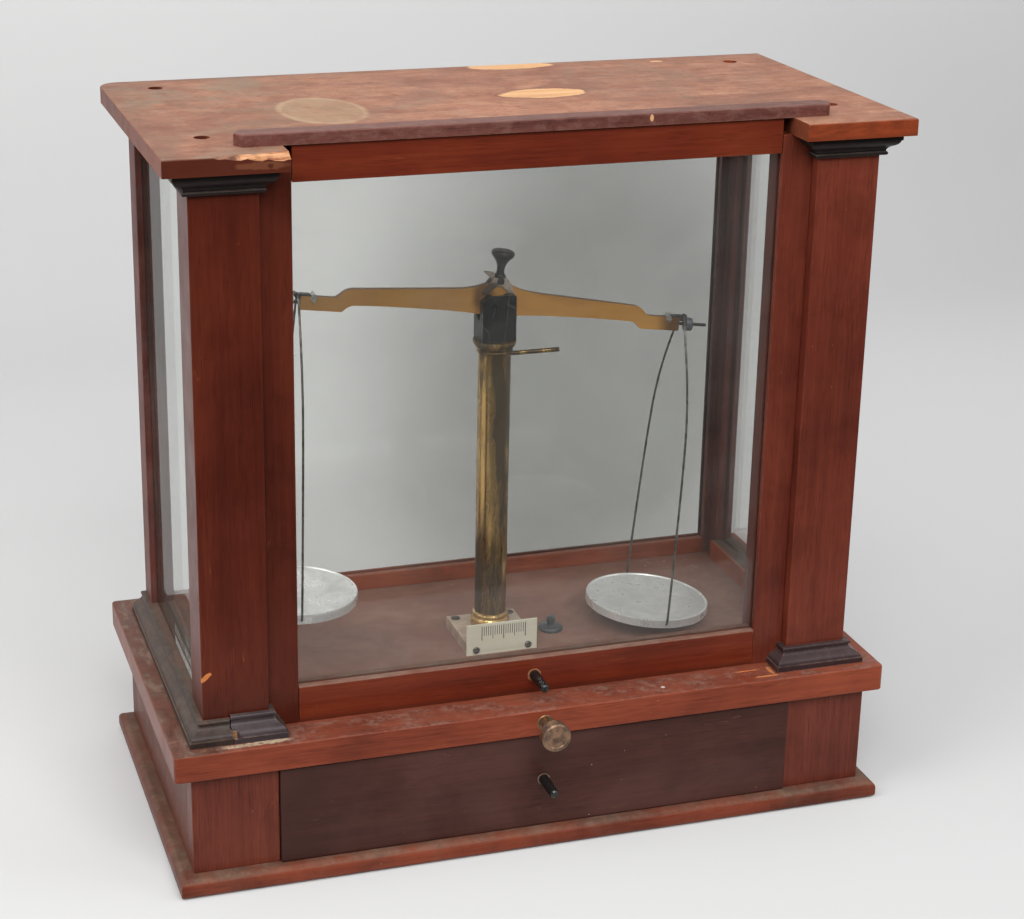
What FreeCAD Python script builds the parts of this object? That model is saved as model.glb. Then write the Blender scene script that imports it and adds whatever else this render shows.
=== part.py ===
import FreeCAD, Part
import math
import os

os.makedirs("parts", exist_ok=True)

# Analytical beam balance in a glazed mahogany case.  Millimetres.
# Frame: origin at the centre of the base board's underside, +X to the right of
# a person facing the sash, +Y to the back, +Z up.

# ---------------------------------------------------------------- dimensions
# base and plinth
BASE_X, BASE_Y, BASE_T = 215.9, 111.0, 10.5
PLINTH_X, PLINTH_Y0, PLINTH_Y1, PLINTH_TOP = 206.9, -101.5, 105.0, 71.2
BLOCK_IN, BLOCK_T, PLINTH_T = 156.9, 14.5, 12.0
# deck board, which is also the floor of the glazed case
DECK_X, DECK_Y0, DECK_Y1, DECK_TOP = 216.9, -107.1, 114.7, 87.5
# glazed case
CASE_X = 197.2                      # outer face of columns, posts and sills
COL_IN, COL_Y0, COL_Y1 = 159.3, -90.0, -60.0
STILE_IN, STILE_Y0, STILE_Y1 = 140.5, -83.2, -66.0
POST_Y0, POST_Y1, POST_IN, POST_LIP_IN, POST_LIP_Y = 77.0, 97.0, 186.0, 181.0, 87.5
SILL_TOP, SILL_IN, REAR_SILL_TOP = 100.0, 182.0, 98.0
HEAD_Z0, HEAD_IN = 396.3, 176.0
CASE_TOP = 412.3                    # underside of the top board
TOP_X, TOP_Y0, TOP_Y1, TOP_Z = 212.3, -104.0, 110.6, 422.0
NOTCH_X, NOTCH_Y = 145.3, -72.0     # gap between the ears for the sash
MOULD_P, MOULD_H = 9.2, 12.5        # projection and height of the mouldings
GLASS_T = 3.0
SIDE_GLASS_X = 190.0
BACK_GLASS_Y = 92.0
# sash
SASH_X, SASH_Y0, SASH_Y1 = 140.2, -83.2, -72.7
SASH_RAIL_TOP, SASH_TOP_Z0, CAP_TOP = 110.0, 401.7, 428.7
SASH_GLASS_X, SASH_GLASS_Y0, SASH_GLASS_Y1 = 144.9, -79.3, -76.8
# drawer
DRAWER_X, DRAWER_Y0, DRAWER_FRONT_T = 156.5, -104.0, 14.0
DRAWER_BOX_X, DRAWER_BOX_Y1, DRAWER_BOX_TOP, DRAWER_T = 148.8, 84.0, 62.0, 7.0
# balance
AX_Y = -2.0                         # the balance's mid-plane in Y
PLATE_TOP = 95.0
TUBE_R, TUBE_R_IN, TUBE_TOP = 9.75, 7.0, 273.0
COLLAR_TOP, BLOCK_TOP = 281.0, 309.0
PIVOT_Z = 301.0
ROD_R, RUN = 2.4, 0.05              # lift rod radius and running clearance
SHAFT_Z, SHAFT_R = 79.3, 3.0
CAM_E, CAM_R = 2.0, 5.6
REST_TILT = 7.6                     # degrees, right side down, as it stands
HOOK_X, HOOK_Z = 120.3, 0.0         # bow seat in the beam, from the pivot
BOW_L, PAN_R, PAN_H = 183.4, 38.5, 5.4
WIRE_END = BOW_L + 2.9               # bow's turned-in ends below the hook
WIRE_R = 0.7
LEAN_RIGHT, LEAN_LEFT = 4.7, 1.5    # degrees, lean of each bow as it stands
YAW_RIGHT, YAW_LEFT = -3.3, -6.0    # degrees, how far each bow is turned on its hook

V = FreeCAD.Vector
NODES = {}


# ------------------------------------------------------------------- helpers
def box(x0, x1, y0, y1, z0, z1):
    return Part.makeBox(x1 - x0, y1 - y0, z1 - z0, V(x0, y0, z0))


def mbox(x0, x1, y0, y1, z0, z1):
    """The same box on the left side."""
    return box(-x1, -x0, y0, y1, z0, z1)


def cyl_z(r, x, y, z0, z1):
    return Part.makeCylinder(r, z1 - z0, V(x, y, z0), V(0, 0, 1))


def cyl_y(r, x, z, y0, y1):
    return Part.makeCylinder(r, y1 - y0, V(x, y0, z), V(0, 1, 0))


def cyl_x(r, y, z, x0, x1):
    return Part.makeCylinder(r, x1 - x0, V(x0, y, z), V(1, 0, 0))


def poly_face(points):
    pts = [V(*p) for p in points]
    return Part.Face(Part.makePolygon(pts + [pts[0]]))


def prism_y(points, y0, y1):
    return poly_face([(x, y0, z) for x, z in points]).extrude(V(0, y1 - y0, 0))


def prism_z(points, z0, z1):
    return poly_face([(x, y, z0) for x, y in points]).extrude(V(0, 0, z1 - z0))


def turned(profile, x, y, z=0.0):
    """Solid of revolution about a vertical line; profile is (radius, height)."""
    f = poly_face([(r, 0, h) for r, h in profile])
    s = f.revolve(V(0, 0, 0), V(0, 0, 1), 360)
    s.translate(V(x, y, z))
    return s


def turned_y(profile, x, z):
    """Solid of revolution about a line along Y; profile is (radius, y)."""
    f = poly_face([(r, h, 0) for r, h in profile])
    s = f.revolve(V(0, 0, 0), V(0, 1, 0), 360)
    s.translate(V(x, 0, z))
    return s


def mirrored(s):
    return s.mirror(V(0, 0, 0), V(1, 0, 0))


def solid_of(s):
    """Plain solids out of a boolean result."""
    sols = s.Solids
    if len(sols) == 1:
        return sols[0]
    return Part.makeCompound(sols)


def put(name, *shapes):
    sols = []
    for s in shapes:
        for q in s.Solids:
            if q.Volume < 0:
                q.reverse()
            sols.append(q)
    NODES[name] = sols[0] if len(sols) == 1 else Part.makeCompound(sols)


def round_edges(s, r, test):
    edges = [e for e in s.Edges if test(e)]
    return s.makeFillet(r, edges)


def at_z(z):
    return lambda e: all(abs(v.Z - z) < 1e-6 for v in e.Vertexes)


def bar_path(points, radii):
    """Straight runs joined by tangent arcs, as one wire."""
    edges = []
    start = points[0]
    for i in range(1, len(points) - 1):
        a, b, c = points[i - 1], points[i], points[i + 1]
        u = (a - b).normalize()
        w = (c - b).normalize()
        half = u.getAngle(w) / 2.0
        r = radii[i - 1]
        t = r / math.tan(half)
        p, q = b + u * t, b + w * t
        mid_dir = (u + w).normalize()
        centre = b + mid_dir * (r / math.sin(half))
        m = centre - mid_dir * r
        if (p - start).Length > 1e-4:
            edges.append(Part.makeLine(start, p))
        edges.append(Part.Arc(p, m, q).toShape())
        start = q
    edges.append(Part.makeLine(start, points[-1]))
    return Part.Wire(edges)


def rod_along(points, radii, r):
    w = bar_path(points, radii)
    d = (points[1] - points[0]).normalize()
    c = Part.Wire(Part.makeCircle(r, points[0], d))
    return w.makePipeShell([c], True, False)


def tilt(s, deg, x, y, z):
    s = s.copy()
    s.rotate(V(x, y, z), V(0, 1, 0), deg)
    return s


# --------------------------------------------------------------- glass panes
side_pane_r = box(SIDE_GLASS_X, SIDE_GLASS_X + GLASS_T, -63, 80, 97.5, 398.8)
side_pane_l = mirrored(side_pane_r)
back_pane = box(-184, 184, BACK_GLASS_Y, BACK_GLASS_Y + GLASS_T, 95.5, 398.8)
C = 0.05
side_slot_r = box(SIDE_GLASS_X - C, SIDE_GLASS_X + GLASS_T + C, -63 - C, 80 + C, 97.5 - C, 398.8 + C)
side_slot_l = mirrored(side_slot_r)
back_slot = box(-184 - C, 184 + C, BACK_GLASS_Y - C, BACK_GLASS_Y + GLASS_T + C, 95.5 - C, 398.8 + C)
put("side_panes", side_pane_l, side_pane_r)
put("back_pane", back_pane)

# ----------------------------------------------------------- base and plinth
base = box(-BASE_X, BASE_X, -BASE_Y, BASE_Y, 0, BASE_T)
base = round_edges(base, 4.2, at_z(BASE_T))
base = round_edges(base, 2.5, at_z(0))
put("base_board", base)

blk = box(BLOCK_IN, PLINTH_X, PLINTH_Y0, PLINTH_Y0 + BLOCK_T, BASE_T, PLINTH_TOP)
put("plinth_corner_blocks", blk, mirrored(blk))
side = box(PLINTH_X - PLINTH_T, PLINTH_X, PLINTH_Y0 + BLOCK_T, PLINTH_Y1 - PLINTH_T, BASE_T, PLINTH_TOP)
put("plinth_sides", side, mirrored(side))
put("plinth_back", box(-PLINTH_X, PLINTH_X, PLINTH_Y1 - PLINTH_T, PLINTH_Y1, BASE_T, PLINTH_TOP))
guide = box(149.2, 161.0, PLINTH_Y0 + BLOCK_T, PLINTH_Y1 - PLINTH_T, BASE_T, 28.0)
put("drawer_guides", guide, mirrored(guide))

# pillar plate screws, used to bore the deck and the plate
def plate_screw(x, y):
    s = turned([(0, 0), (1.6, 0), (1.6, 15.5), (3.0, 18.6), (3.0, 19.0), (0, 19.6)], x, y, 76.4)
    slot = box(x - 4, x + 4, y - 0.4, y + 0.4, 95.2, 97)
    return s.cut(slot)


plate_screws = [plate_screw(x, y) for x in (-17.5, 17.5) for y in (-20.5, 13.5)]
put("pillar_plate_screws", *plate_screws)
screw_bores = [turned([(0, -0.05), (1.62, -0.05), (1.62, 15.5), (3.02, 18.6), (3.02, 22), (0, 22)], x, y, 76.4)
               for x in (-17.5, 17.5) for y in (-20.5, 13.5)]

deck = box(-DECK_X, DECK_X, DECK_Y0, DECK_Y1, PLINTH_TOP, DECK_TOP)
deck = round_edges(deck, 2.6, lambda e: abs(e.Vertexes[0].Z - e.Vertexes[-1].Z) > 1)
deck = round_edges(deck, 1.2, lambda e: at_z(DECK_TOP)(e) or at_z(PLINTH_TOP)(e))
deck = deck.cut(box(-8.6, 8.6, -10.2, 6.2, PLINTH_TOP - 1, DECK_TOP + 1))      # cam mortise
deck = deck.cut(cyl_y(SHAFT_R + RUN, 0, SHAFT_Z, -98.0, -9.0))                 # shaft bore
deck = deck.cut(cyl_y(SHAFT_R + RUN, 0, SHAFT_Z, 6.0, 14.0))                   # end bearing
deck = deck.cut(cyl_y(5.0, 0, SHAFT_Z, -108.0, -97.1))                         # bushing seat
for b in screw_bores:
    deck = deck.cut(b)
put("deck_board", deck)

# ------------------------------------------------------------------- sills
sill = box(SILL_IN, CASE_X, COL_Y1, POST_Y0, DECK_TOP, SILL_TOP).cut(side_slot_r)
rear_sill = box(-POST_LIP_IN, POST_LIP_IN, POST_LIP_Y, POST_Y1, DECK_TOP, REAR_SILL_TOP).cut(back_slot)
put("sill_rails", mirrored(sill), sill, rear_sill)

# ------------------------------------------------- columns, stiles and posts
col = box(COL_IN, CASE_X, COL_Y0, COL_Y1, DECK_TOP, CASE_TOP).cut(side_slot_r)
col = round_edges(col, 0.6, lambda e: all(abs(v.X - CASE_X) < 1e-6 and abs(v.Y - COL_Y0) < 1e-6 for v in e.Vertexes)
                  or all(abs(v.X - COL_IN) < 1e-6 and abs(v.Y - COL_Y0) < 1e-6 for v in e.Vertexes))
put("column_right", col)
put("column_left", mirrored(col))
stile = box(STILE_IN, COL_IN, STILE_Y0, STILE_Y1, DECK_TOP, CASE_TOP)
stile = stile.cut(box(STILE_IN - 1, NOTCH_X, SASH_GLASS_Y0 - 0.3, SASH_GLASS_Y1 + 0.3, DECK_TOP - 1, CASE_TOP + 1))
put("stile_right", stile)
put("stile_left", mirrored(stile))
post = prism_z([(POST_IN, POST_Y0), (CASE_X, POST_Y0), (CASE_X, POST_Y1), (POST_LIP_IN, POST_Y1),
                (POST_LIP_IN, POST_LIP_Y), (POST_IN, POST_LIP_Y)], DECK_TOP, HEAD_Z0)
post = post.cut(side_slot_r).cut(back_slot)
put("rear_posts", mirrored(post), post)

# top board screws, countersunk well below the surface
SCREW_XY = [(-182, 86), (182, 86), (-182, -55), (182, -55)]


def top_screw(x, y):
    s = turned([(0, 397.5), (1.9, 400.0), (1.9, 414.0), (4.0, 416.2), (4.0, 417.6), (0, 418.3)], x, y)
    return s.cut(box(x - 5, x + 5, y - 0.5, y + 0.5, 416.9, 420))


top_screws = [top_screw(x, y) for x, y in SCREW_XY]
put("top_board_screws", *top_screws)
top_bores = [turned([(0, 397.4), (1.92, 399.9), (1.92, 414.0), (4.4, 416.4), (4.4, 424), (0, 424)], x, y)
             for x, y in SCREW_XY]

head = box(HEAD_IN, CASE_X, COL_Y1, POST_Y1, HEAD_Z0, CASE_TOP).cut(side_slot_r).cut(back_slot)
for b in top_bores:
    head = head.cut(b)
rear_head = box(-HEAD_IN, HEAD_IN, POST_LIP_Y, POST_Y1, HEAD_Z0, CASE_TOP).cut(back_slot)
put("head_rails", mirrored(head), head, rear_head)

top = box(-TOP_X, TOP_X, TOP_Y0, TOP_Y1, CASE_TOP, TOP_Z)
top = top.cut(box(-NOTCH_X, NOTCH_X, TOP_Y0 - 1, NOTCH_Y, CASE_TOP - 1, TOP_Z + 1))
top = round_edges(top, 12.0, lambda e: all(abs(v.X + TOP_X) < 1e-6 and abs(v.Y - TOP_Y1) < 1e-6 for v in e.Vertexes))
top = round_edges(top, 1.0, lambda e: at_z(TOP_Z)(e) and not all(abs(v.X) < NOTCH_X + 1 and v.Y < NOTCH_Y + 1 for v in e.Vertexes))
for b in top_bores:
    top = top.cut(b)
# splintered front arris of the left ear: (x, depth back, depth down)
CHIP = [(-186.5, 0.25, 0.2), (-183.0, 1.6, 1.3), (-179.5, 2.3, 1.1), (-176.0, 1.5, 1.9), (-171.5, 3.4, 2.4), (-168.0, 3.9, 1.7),
        (-164.0, 2.9, 2.9), (-160.5, 4.9, 3.3), (-157.0, 4.4, 2.4), (-153.5, 5.3, 3.4), (-149.5, 4.7, 3.9), (-146.5, 5.6, 3.1),
        (-144.0, 5.9, 3.4)]


def chip_wire(x, d, h, k=0.6):
    pts = [V(x, TOP_Y0 - d * k, TOP_Z + h * k), V(x, TOP_Y0 + d * (1 + k), TOP_Z + h * k), V(x, TOP_Y0 - d * k, TOP_Z - h * (1 + k))]
    return Part.makePolygon(pts + [pts[0]])


top = top.cut(Part.makeLoft([chip_wire(*c) for c in CHIP], True, True))
put("top_board", top)


# ---------------------------------------------------------------- mouldings
def moulding_face(place, grow=1.0):
    """Ogee section: a flat fillet, a long S curve and a small top bead.
    place maps (distance out from the column, height) to a point; grow stretches
    the curve above the fillet."""
    def p(d, z):
        return V(*place(d, z if z < 3.4 else 3.3 + (z - 3.3) * grow))
    e = [Part.makeLine(p(0, 0), p(MOULD_P, 0)),
         Part.makeLine(p(MOULD_P, 0), p(MOULD_P, 3.3)),
         Part.makeLine(p(MOULD_P, 3.3), p(8.5, 3.5))]
    pts = [(8.5, 3.5), (8.1, 4.6), (7.2, 5.8), (5.9, 6.7), (4.5, 7.4), (3.3, 8.3), (2.6, 9.4), (2.4, 10.3)]
    c = Part.BSplineCurve()
    c.interpolate([p(*q) for q in pts])
    e.append(c.toShape())
    e += [Part.makeLine(p(2.4, 10.3), p(3.0, 10.6)),
          Part.Arc(p(3.0, 10.6), p(3.35, 11.4), p(2.8, 12.5)).toShape(),
          Part.makeLine(p(2.8, 12.5), p(0, 12.5)),
          Part.makeLine(p(0, 12.5), p(0, 0))]
    return Part.Face(Part.Wire(e))


def moulding(base_z, up, grow=1.0):
    """The three mitred strips round the right column: side, front, return."""
    f = lambda z: base_z + (z if up else -z)
    z0, z1 = (base_z, base_z + MOULD_H + 3) if up else (base_z - MOULD_H, base_z)
    big = 14.0
    sd = moulding_face(lambda d, z: (CASE_X + d, COL_Y0 - big, f(z)), grow).extrude(V(0, POST_Y1 - COL_Y0 + big, 0))
    sd = sd.common(prism_z([(CASE_X, POST_Y1), (CASE_X, COL_Y0), (CASE_X + big, COL_Y0 - big),
                            (CASE_X + big, POST_Y1)], z0 - 1, z1 + 1))
    fr = moulding_face(lambda d, z: (COL_IN - big, COL_Y0 - d, f(z)), grow).extrude(V(CASE_X - COL_IN + 2 * big, 0, 0))
    fr = fr.common(prism_z([(COL_IN, COL_Y0), (CASE_X, COL_Y0), (CASE_X + big, COL_Y0 - big),
                            (COL_IN - big, COL_Y0 - big)], z0 - 1, z1 + 1))
    rt = moulding_face(lambda d, z: (COL_IN - d, COL_Y0 - big, f(z)), grow).extrude(V(0, STILE_Y0 - COL_Y0 + big, 0))
    rt = rt.common(prism_z([(COL_IN, STILE_Y0), (COL_IN, COL_Y0), (COL_IN - big, COL_Y0 - big),
                            (COL_IN - big, STILE_Y0)], z0 - 1, z1 + 1))
    return sd, fr, rt


b_side, b_front, b_return = moulding(DECK_TOP, True)
put("base_moulding_right", b_side, b_front, b_return)
# On the left the front strip has snapped; its inner part is a replacement cut
# from a slightly taller section, with a corner knocked off at the break.
REPAIR_GROW = 1.19
r_side, r_front, r_return = moulding(DECK_TOP, True, REPAIR_GROW)
left_front = mirrored(b_front)
crack = [(-182.6, -80), (-182.2, -92.4), (-182.9, -93.6), (-181.9, -95.8), (-182.3, -97.4), (-181.4, -99.2), (-181.4, -110), (-230, -110), (-230, -80)]
crack2 = [(-181.9, -80), (-181.6, -92.4), (-182.2, -93.6), (-181.3, -95.8), (-181.5, -97.4), (-180.8, -99.2), (-180.8, -110), (-120, -110), (-120, -80)]
piece_a = left_front.common(prism_z(crack, 80, 110))
piece_b = mirrored(r_front).common(prism_z(crack2, 80, 110))
knock = prism_z([(-183, -94.6), (-180.4, -95.4), (-177.2, -98.4), (-177.2, -101), (-183, -101)], 90.4, 94.2)
piece_b = piece_b.cut(knock)
piece_b.rotate(V(-170, -90, DECK_TOP), V(0, 0, 1), -0.35)
piece_b.translate(V(0.0, -0.35, 0.0))
put("base_moulding_left", mirrored(b_side), piece_a, mirrored(r_return))
put("base_moulding_broken_piece", piece_b)
c_side, c_front, c_return = moulding(CASE_TOP, False)
put("capital_right", c_side, c_front, c_return)
put("capital_left", mirrored(c_side), mirrored(c_front), mirrored(c_return))

# --------------------------------------------------------------------- sash
glass_slot = box(-SASH_GLASS_X, SASH_GLASS_X, SASH_GLASS_Y0 - C, SASH_GLASS_Y1 + C, 106.5 - C, 405 + C)
sash_glass = box(-SASH_GLASS_X, SASH_GLASS_X, SASH_GLASS_Y0, SASH_GLASS_Y1, 106.5, 405)
put("sash_glass", sash_glass)
put("sash_top_rail", box(-SASH_X, SASH_X, SASH_Y0, SASH_Y1, SASH_TOP_Z0, TOP_Z).cut(glass_slot))
cap = prism_z([(-170, -78.5), (-166.5, -85), (166.5, -85), (170, -78.5), (166.5, -71.5), (-166.5, -71.5)], TOP_Z, CAP_TOP)
cap = cap.makeFillet(1.0, [e for e in cap.Edges if at_z(CAP_TOP)(e)])
put("sash_cap_strip", cap)


def peg(y_face, z):
    return turned_y([(0, y_face + 5), (2.5, y_face + 5), (2.5, y_face), (3.15, y_face), (3.05, y_face - 6),
                     (2.75, y_face - 18), (2.4, y_face - 19.3), (1.6, y_face - 20.0), (0, y_face - 20.2)], 1.0, z)


rail = box(-SASH_X, SASH_X, SASH_Y0, SASH_Y1, DECK_TOP, SASH_RAIL_TOP).cut(glass_slot)
rail = round_edges(rail, 1.2, lambda e: at_z(SASH_RAIL_TOP)(e) and all(abs(v.Y - SASH_Y0) < 1e-6 for v in e.Vertexes))
rail = rail.cut(cyl_y(2.5, 1.0, 98.8, SASH_Y0 - 1, SASH_Y0 + 5))
put("sash_bottom_rail", rail)
put("sash_peg", peg(SASH_Y0, 98.8))

# ------------------------------------------------------------------- drawer
d_z0 = BASE_T + 0.1
front = box(-DRAWER_X, DRAWER_X, DRAWER_Y0, DRAWER_Y0 + DRAWER_FRONT_T, BASE_T + 0.4, PLINTH_TOP - 1.0)
front = round_edges(front, 0.8, lambda e: all(abs(v.Y - DRAWER_Y0) < 1e-6 for v in e.Vertexes))
bottom_y0 = DRAWER_Y0 + DRAWER_FRONT_T - 4
bottom = box(-DRAWER_BOX_X + 3, DRAWER_BOX_X - 3, bottom_y0, DRAWER_BOX_Y1 - DRAWER_T, 14, 18)
slot = box(-DRAWER_BOX_X + 3 - C, DRAWER_BOX_X - 3 + C, bottom_y0 - C, DRAWER_BOX_Y1 - DRAWER_T + C, 14 - C, 18 + C)
front = front.cut(slot).cut(cyl_y(2.5, 1.0, 41.0, DRAWER_Y0 - 1, DRAWER_Y0 + 5))
put("drawer_front", front)
ds = box(DRAWER_BOX_X - DRAWER_T, DRAWER_BOX_X, DRAWER_Y0 + DRAWER_FRONT_T, DRAWER_BOX_Y1, d_z0, DRAWER_BOX_TOP)
ds = ds.cut(slot)
db = box(-DRAWER_BOX_X + DRAWER_T, DRAWER_BOX_X - DRAWER_T, DRAWER_BOX_Y1 - DRAWER_T, DRAWER_BOX_Y1, d_z0, DRAWER_BOX_TOP)
db = db.cut(slot)
put("drawer_box_sides", mirrored(ds), ds, db)
put("drawer_bottom", bottom)
put("drawer_peg", peg(DRAWER_Y0, 41.0))

# -------------------------------------------------------------- arrest drive
put("arrest_bushing", turned_y([(SHAFT_R + RUN, -107.6), (4.6, -107.6), (4.98, -107.2), (4.98, -97.2), (SHAFT_R + RUN, -97.2)],
                               0, SHAFT_Z))
put("arrest_shaft", cyl_y(SHAFT_R, 0, SHAFT_Z, -124.0, 13.5))
put("arrest_knob", turned_y([(3.02, -124.1), (3.02, -116.8), (4.6, -116.8), (4.9, -120.8), (8.1, -120.8), (8.7, -121.4),
                             (8.7, -127.0), (8.0, -127.8), (6.2, -127.8), (5.8, -127.4), (0, -127.4), (0, -124.1)],
                            0, SHAFT_Z))
cam = cyl_y(CAM_R, 0, SHAFT_Z - CAM_E, -6.0, 2.0).cut(cyl_y(SHAFT_R + 0.02, 0, SHAFT_Z, -7, 3))
put("arrest_cam", cam)

# ------------------------------------------------------------------- pillar
plate = box(-22, 22, -25, 18, DECK_TOP, PLATE_TOP)
plate = round_edges(plate, 0.7, at_z(PLATE_TOP))
plate = plate.cut(cyl_z(ROD_R + RUN, 0, AX_Y, DECK_TOP - 1, PLATE_TOP + 1))
for b in screw_bores:
    plate = plate.cut(b)
scale_screw_at = [(-16.4, 90.9), (16.8, 90.9)]
for x, z in scale_screw_at:
    plate = plate.cut(cyl_y(1.1, x, z, -26, -22.7))
put("pillar_base_plate", plate)
put("pillar_foot_ring", turned([(TUBE_R + 0.02, PLATE_TOP), (11.4, PLATE_TOP), (11.9, 95.7), (12.1, 97.4), (12.1, 99.4), (11.8, 101.0),
                                (11.2, 102.1), (10.8, 102.6), (10.8, 103.1), (11.1, 103.8), (11.1, 104.7), (10.7, 105.5),
                                (10.2, 105.9), (TUBE_R + 0.02, 106.0)], 0, AX_Y))
arm_z = 270.8
arm = cyl_x(1.35, AX_Y, arm_z, 7.6, 40.5)
arm = arm.cut(box(38.2, 38.9, AX_Y - 3, AX_Y + 3, arm_z - 0.2, arm_z + 3)).cut(box(35.4, 35.7, AX_Y - 3, AX_Y + 3, arm_z + 1.1, arm_z + 3))
put("plumb_line_arm", arm)
tube = cyl_z(TUBE_R, 0, AX_Y, PLATE_TOP, TUBE_TOP).cut(cyl_z(TUBE_R_IN, 0, AX_Y, PLATE_TOP - 1, TUBE_TOP + 1))
tube = tube.cut(cyl_x(1.36, AX_Y, arm_z, 0, 20))
put("pillar_tube", tube)
put("pillar_collar", turned([(ROD_R + RUN, 267.5), (TUBE_R_IN - 0.02, 267.5), (TUBE_R_IN - 0.02, TUBE_TOP), (10.3, TUBE_TOP),
                             (10.9, 273.5), (10.9, 274.3), (10.4, 274.9), (10.9, 275.8), (12.2, 277.4), (12.9, 278.8), (13.1, 280.2),
                             (12.9, COLLAR_TOP), (ROD_R + RUN, COLLAR_TOP)], 0, AX_Y))
scale = box(-22.5, 22.5, -26.2, -25.0, DECK_TOP, DECK_TOP + 20.0)
for x, z in scale_screw_at:
    scale = scale.cut(cyl_y(1.1, x, z, -27, -24))
put("scale_plate", scale)
scale_screws = []
for x, z in scale_screw_at:
    s = turned_y([(0, -22.8), (1.08, -22.8), (1.08, -26.2), (2.15, -26.2), (2.15, -26.9), (1.5, -27.4), (0, -27.6)], x, z)
    scale_screws.append(s.cut(box(x - 3, x + 3, -28, -27.0, z - 0.25, z + 0.25)))
put("scale_plate_screws", *scale_screws)
put("plumb_index", turned([(0, DECK_TOP), (7.5, DECK_TOP), (7.5, 89.2), (7.0, 89.8), (3.4, 90.1), (2.3, 90.6), (2.1, 91.6), (2.6, 93.2),
                           (2.75, 94.6), (2.3, 95.9), (1.2, 96.7), (0, 96.9)], 40.0, AX_Y))

# --------------------------------------------------------- lift rod and block
put("lift_rod", cyl_z(ROD_R, 0, AX_Y, SHAFT_Z - CAM_E + CAM_R + RUN, 291.9))
blk = box(-10.4, 10.4, -10.5, 6.5, COLLAR_TOP, BLOCK_TOP)
blk = blk.cut(prism_y([(-10.5, 305.5), (-10.5, 310), (-6.6, 310), (-6.6, BLOCK_TOP)], -11, 7))
blk = blk.cut(prism_y([(10.5, 308.0), (10.5, 310), (9.4, 310), (9.4, BLOCK_TOP)], -11, 7))
blk = blk.cut(box(-11, 11, -5.5, 1.5, 293.5, 310))                               # slot for the beam
blk = blk.cut(cyl_z(ROD_R + 0.02, 0, AX_Y, COLLAR_TOP - 1, 292.0))               # seat for the rod
blk = blk.cut(box(-4.0, 4.0, -8.6, -5.4, 298.4, 310)).cut(box(-4.0, 4.0, 1.4, 4.6, 298.4, 310))
put("beam_block", blk)
agate = box(-3.9, 3.9, -8.5, -5.6, 298.4, 300.98)
agate2 = box(-3.9, 3.9, 1.6, 4.5, 298.4, 300.98)
put("agate_plates", agate, agate2)


# --------------------------------------------------------------------- beam
# drawn level about the pivot, then turned to the rest tilt
def level(x, z):
    return (x, PIVOT_Z + z)


def spline(points, y):
    c = Part.BSplineCurve()
    c.interpolate([V(x, y, PIVOT_Z + z) for x, z in points])
    return c.toShape()


BY0, BY1 = AX_Y - 2.0, AX_Y + 2.0
hump = [(-11, 12.0), (-8, 13.1), (-4, 14.0), (0, 14.2), (4, 14.0), (8, 13.1), (11, 12.0)]
arm_top = [(11, 12.0), (15, 10.8), (20.7, 9.7), (30, 8.9), (39.6, 8.3), (60, 7.0), (75, 6.1), (86, 5.4)]
step_top = [(86, 5.4), (89.5, 5.0), (92.3, 3.9), (94.6, 2.1), (96.4, 0.5), (98.3, -0.4)]
step_low = [(93.5, -8.6), (91.8, -7.0), (90.0, -5.6), (88.0, -4.7), (85.5, -4.4)]
arm_low = [(85.5, -4.4), (75, -4.0), (60, -3.8), (39.6, -3.9), (20.7, -4.4), (11, -5.0), (0, -5.3), (-11, -5.0), (-20.7, -4.4),
           (-39.6, -3.9), (-60, -3.8), (-75, -4.0), (-85.5, -4.4)]
neg = lambda pts: [(-x, z) for x, z in pts][::-1]
ed = [spline(hump, BY0), spline(arm_top, BY0), spline(step_top, BY0),
      Part.makeLine(V(98.3, BY0, PIVOT_Z - 0.4), V(118.5, BY0, PIVOT_Z - 0.4)),
      Part.makeLine(V(118.5, BY0, PIVOT_Z - 0.4), V(118.5, BY0, PIVOT_Z - 8.6)),
      Part.makeLine(V(118.5, BY0, PIVOT_Z - 8.6), V(93.5, BY0, PIVOT_Z - 8.6)),
      spline(step_low, BY0), spline(arm_low, BY0), spline(neg(step_low), BY0),
      Part.makeLine(V(-93.5, BY0, PIVOT_Z - 8.6), V(-118.5, BY0, PIVOT_Z - 8.6)),
      Part.makeLine(V(-118.5, BY0, PIVOT_Z - 8.6), V(-118.5, BY0, PIVOT_Z - 0.4)),
      Part.makeLine(V(-118.5, BY0, PIVOT_Z - 0.4), V(-98.3, BY0, PIVOT_Z - 0.4)),
      spline(neg(step_top), BY0), spline(neg(arm_top), BY0)]
beam = Part.Face(Part.Wire(ed)).extrude(V(0, BY1 - BY0, 0))

knife = prism_y([level(0, 0), level(1.75, 3.0), level(1.75, 5.2), level(-1.75, 5.2), level(-1.75, 3.0)], -8.3, 4.3)


def terminal_knife(x):
    return prism_y([level(x, 1.8), level(x + 1.9, -1.4), level(x, -4.2), level(x - 1.9, -1.4)], -5.2, 1.2)


tk = [terminal_knife(-111.0), terminal_knife(111.0)]
screw_rods = [cyl_x(1.0, AX_Y, PIVOT_Z - 4.5, 113.6, 136.8), cyl_x(1.0, AX_Y, PIVOT_Z - 4.5, -136.8, -113.6)]


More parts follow.
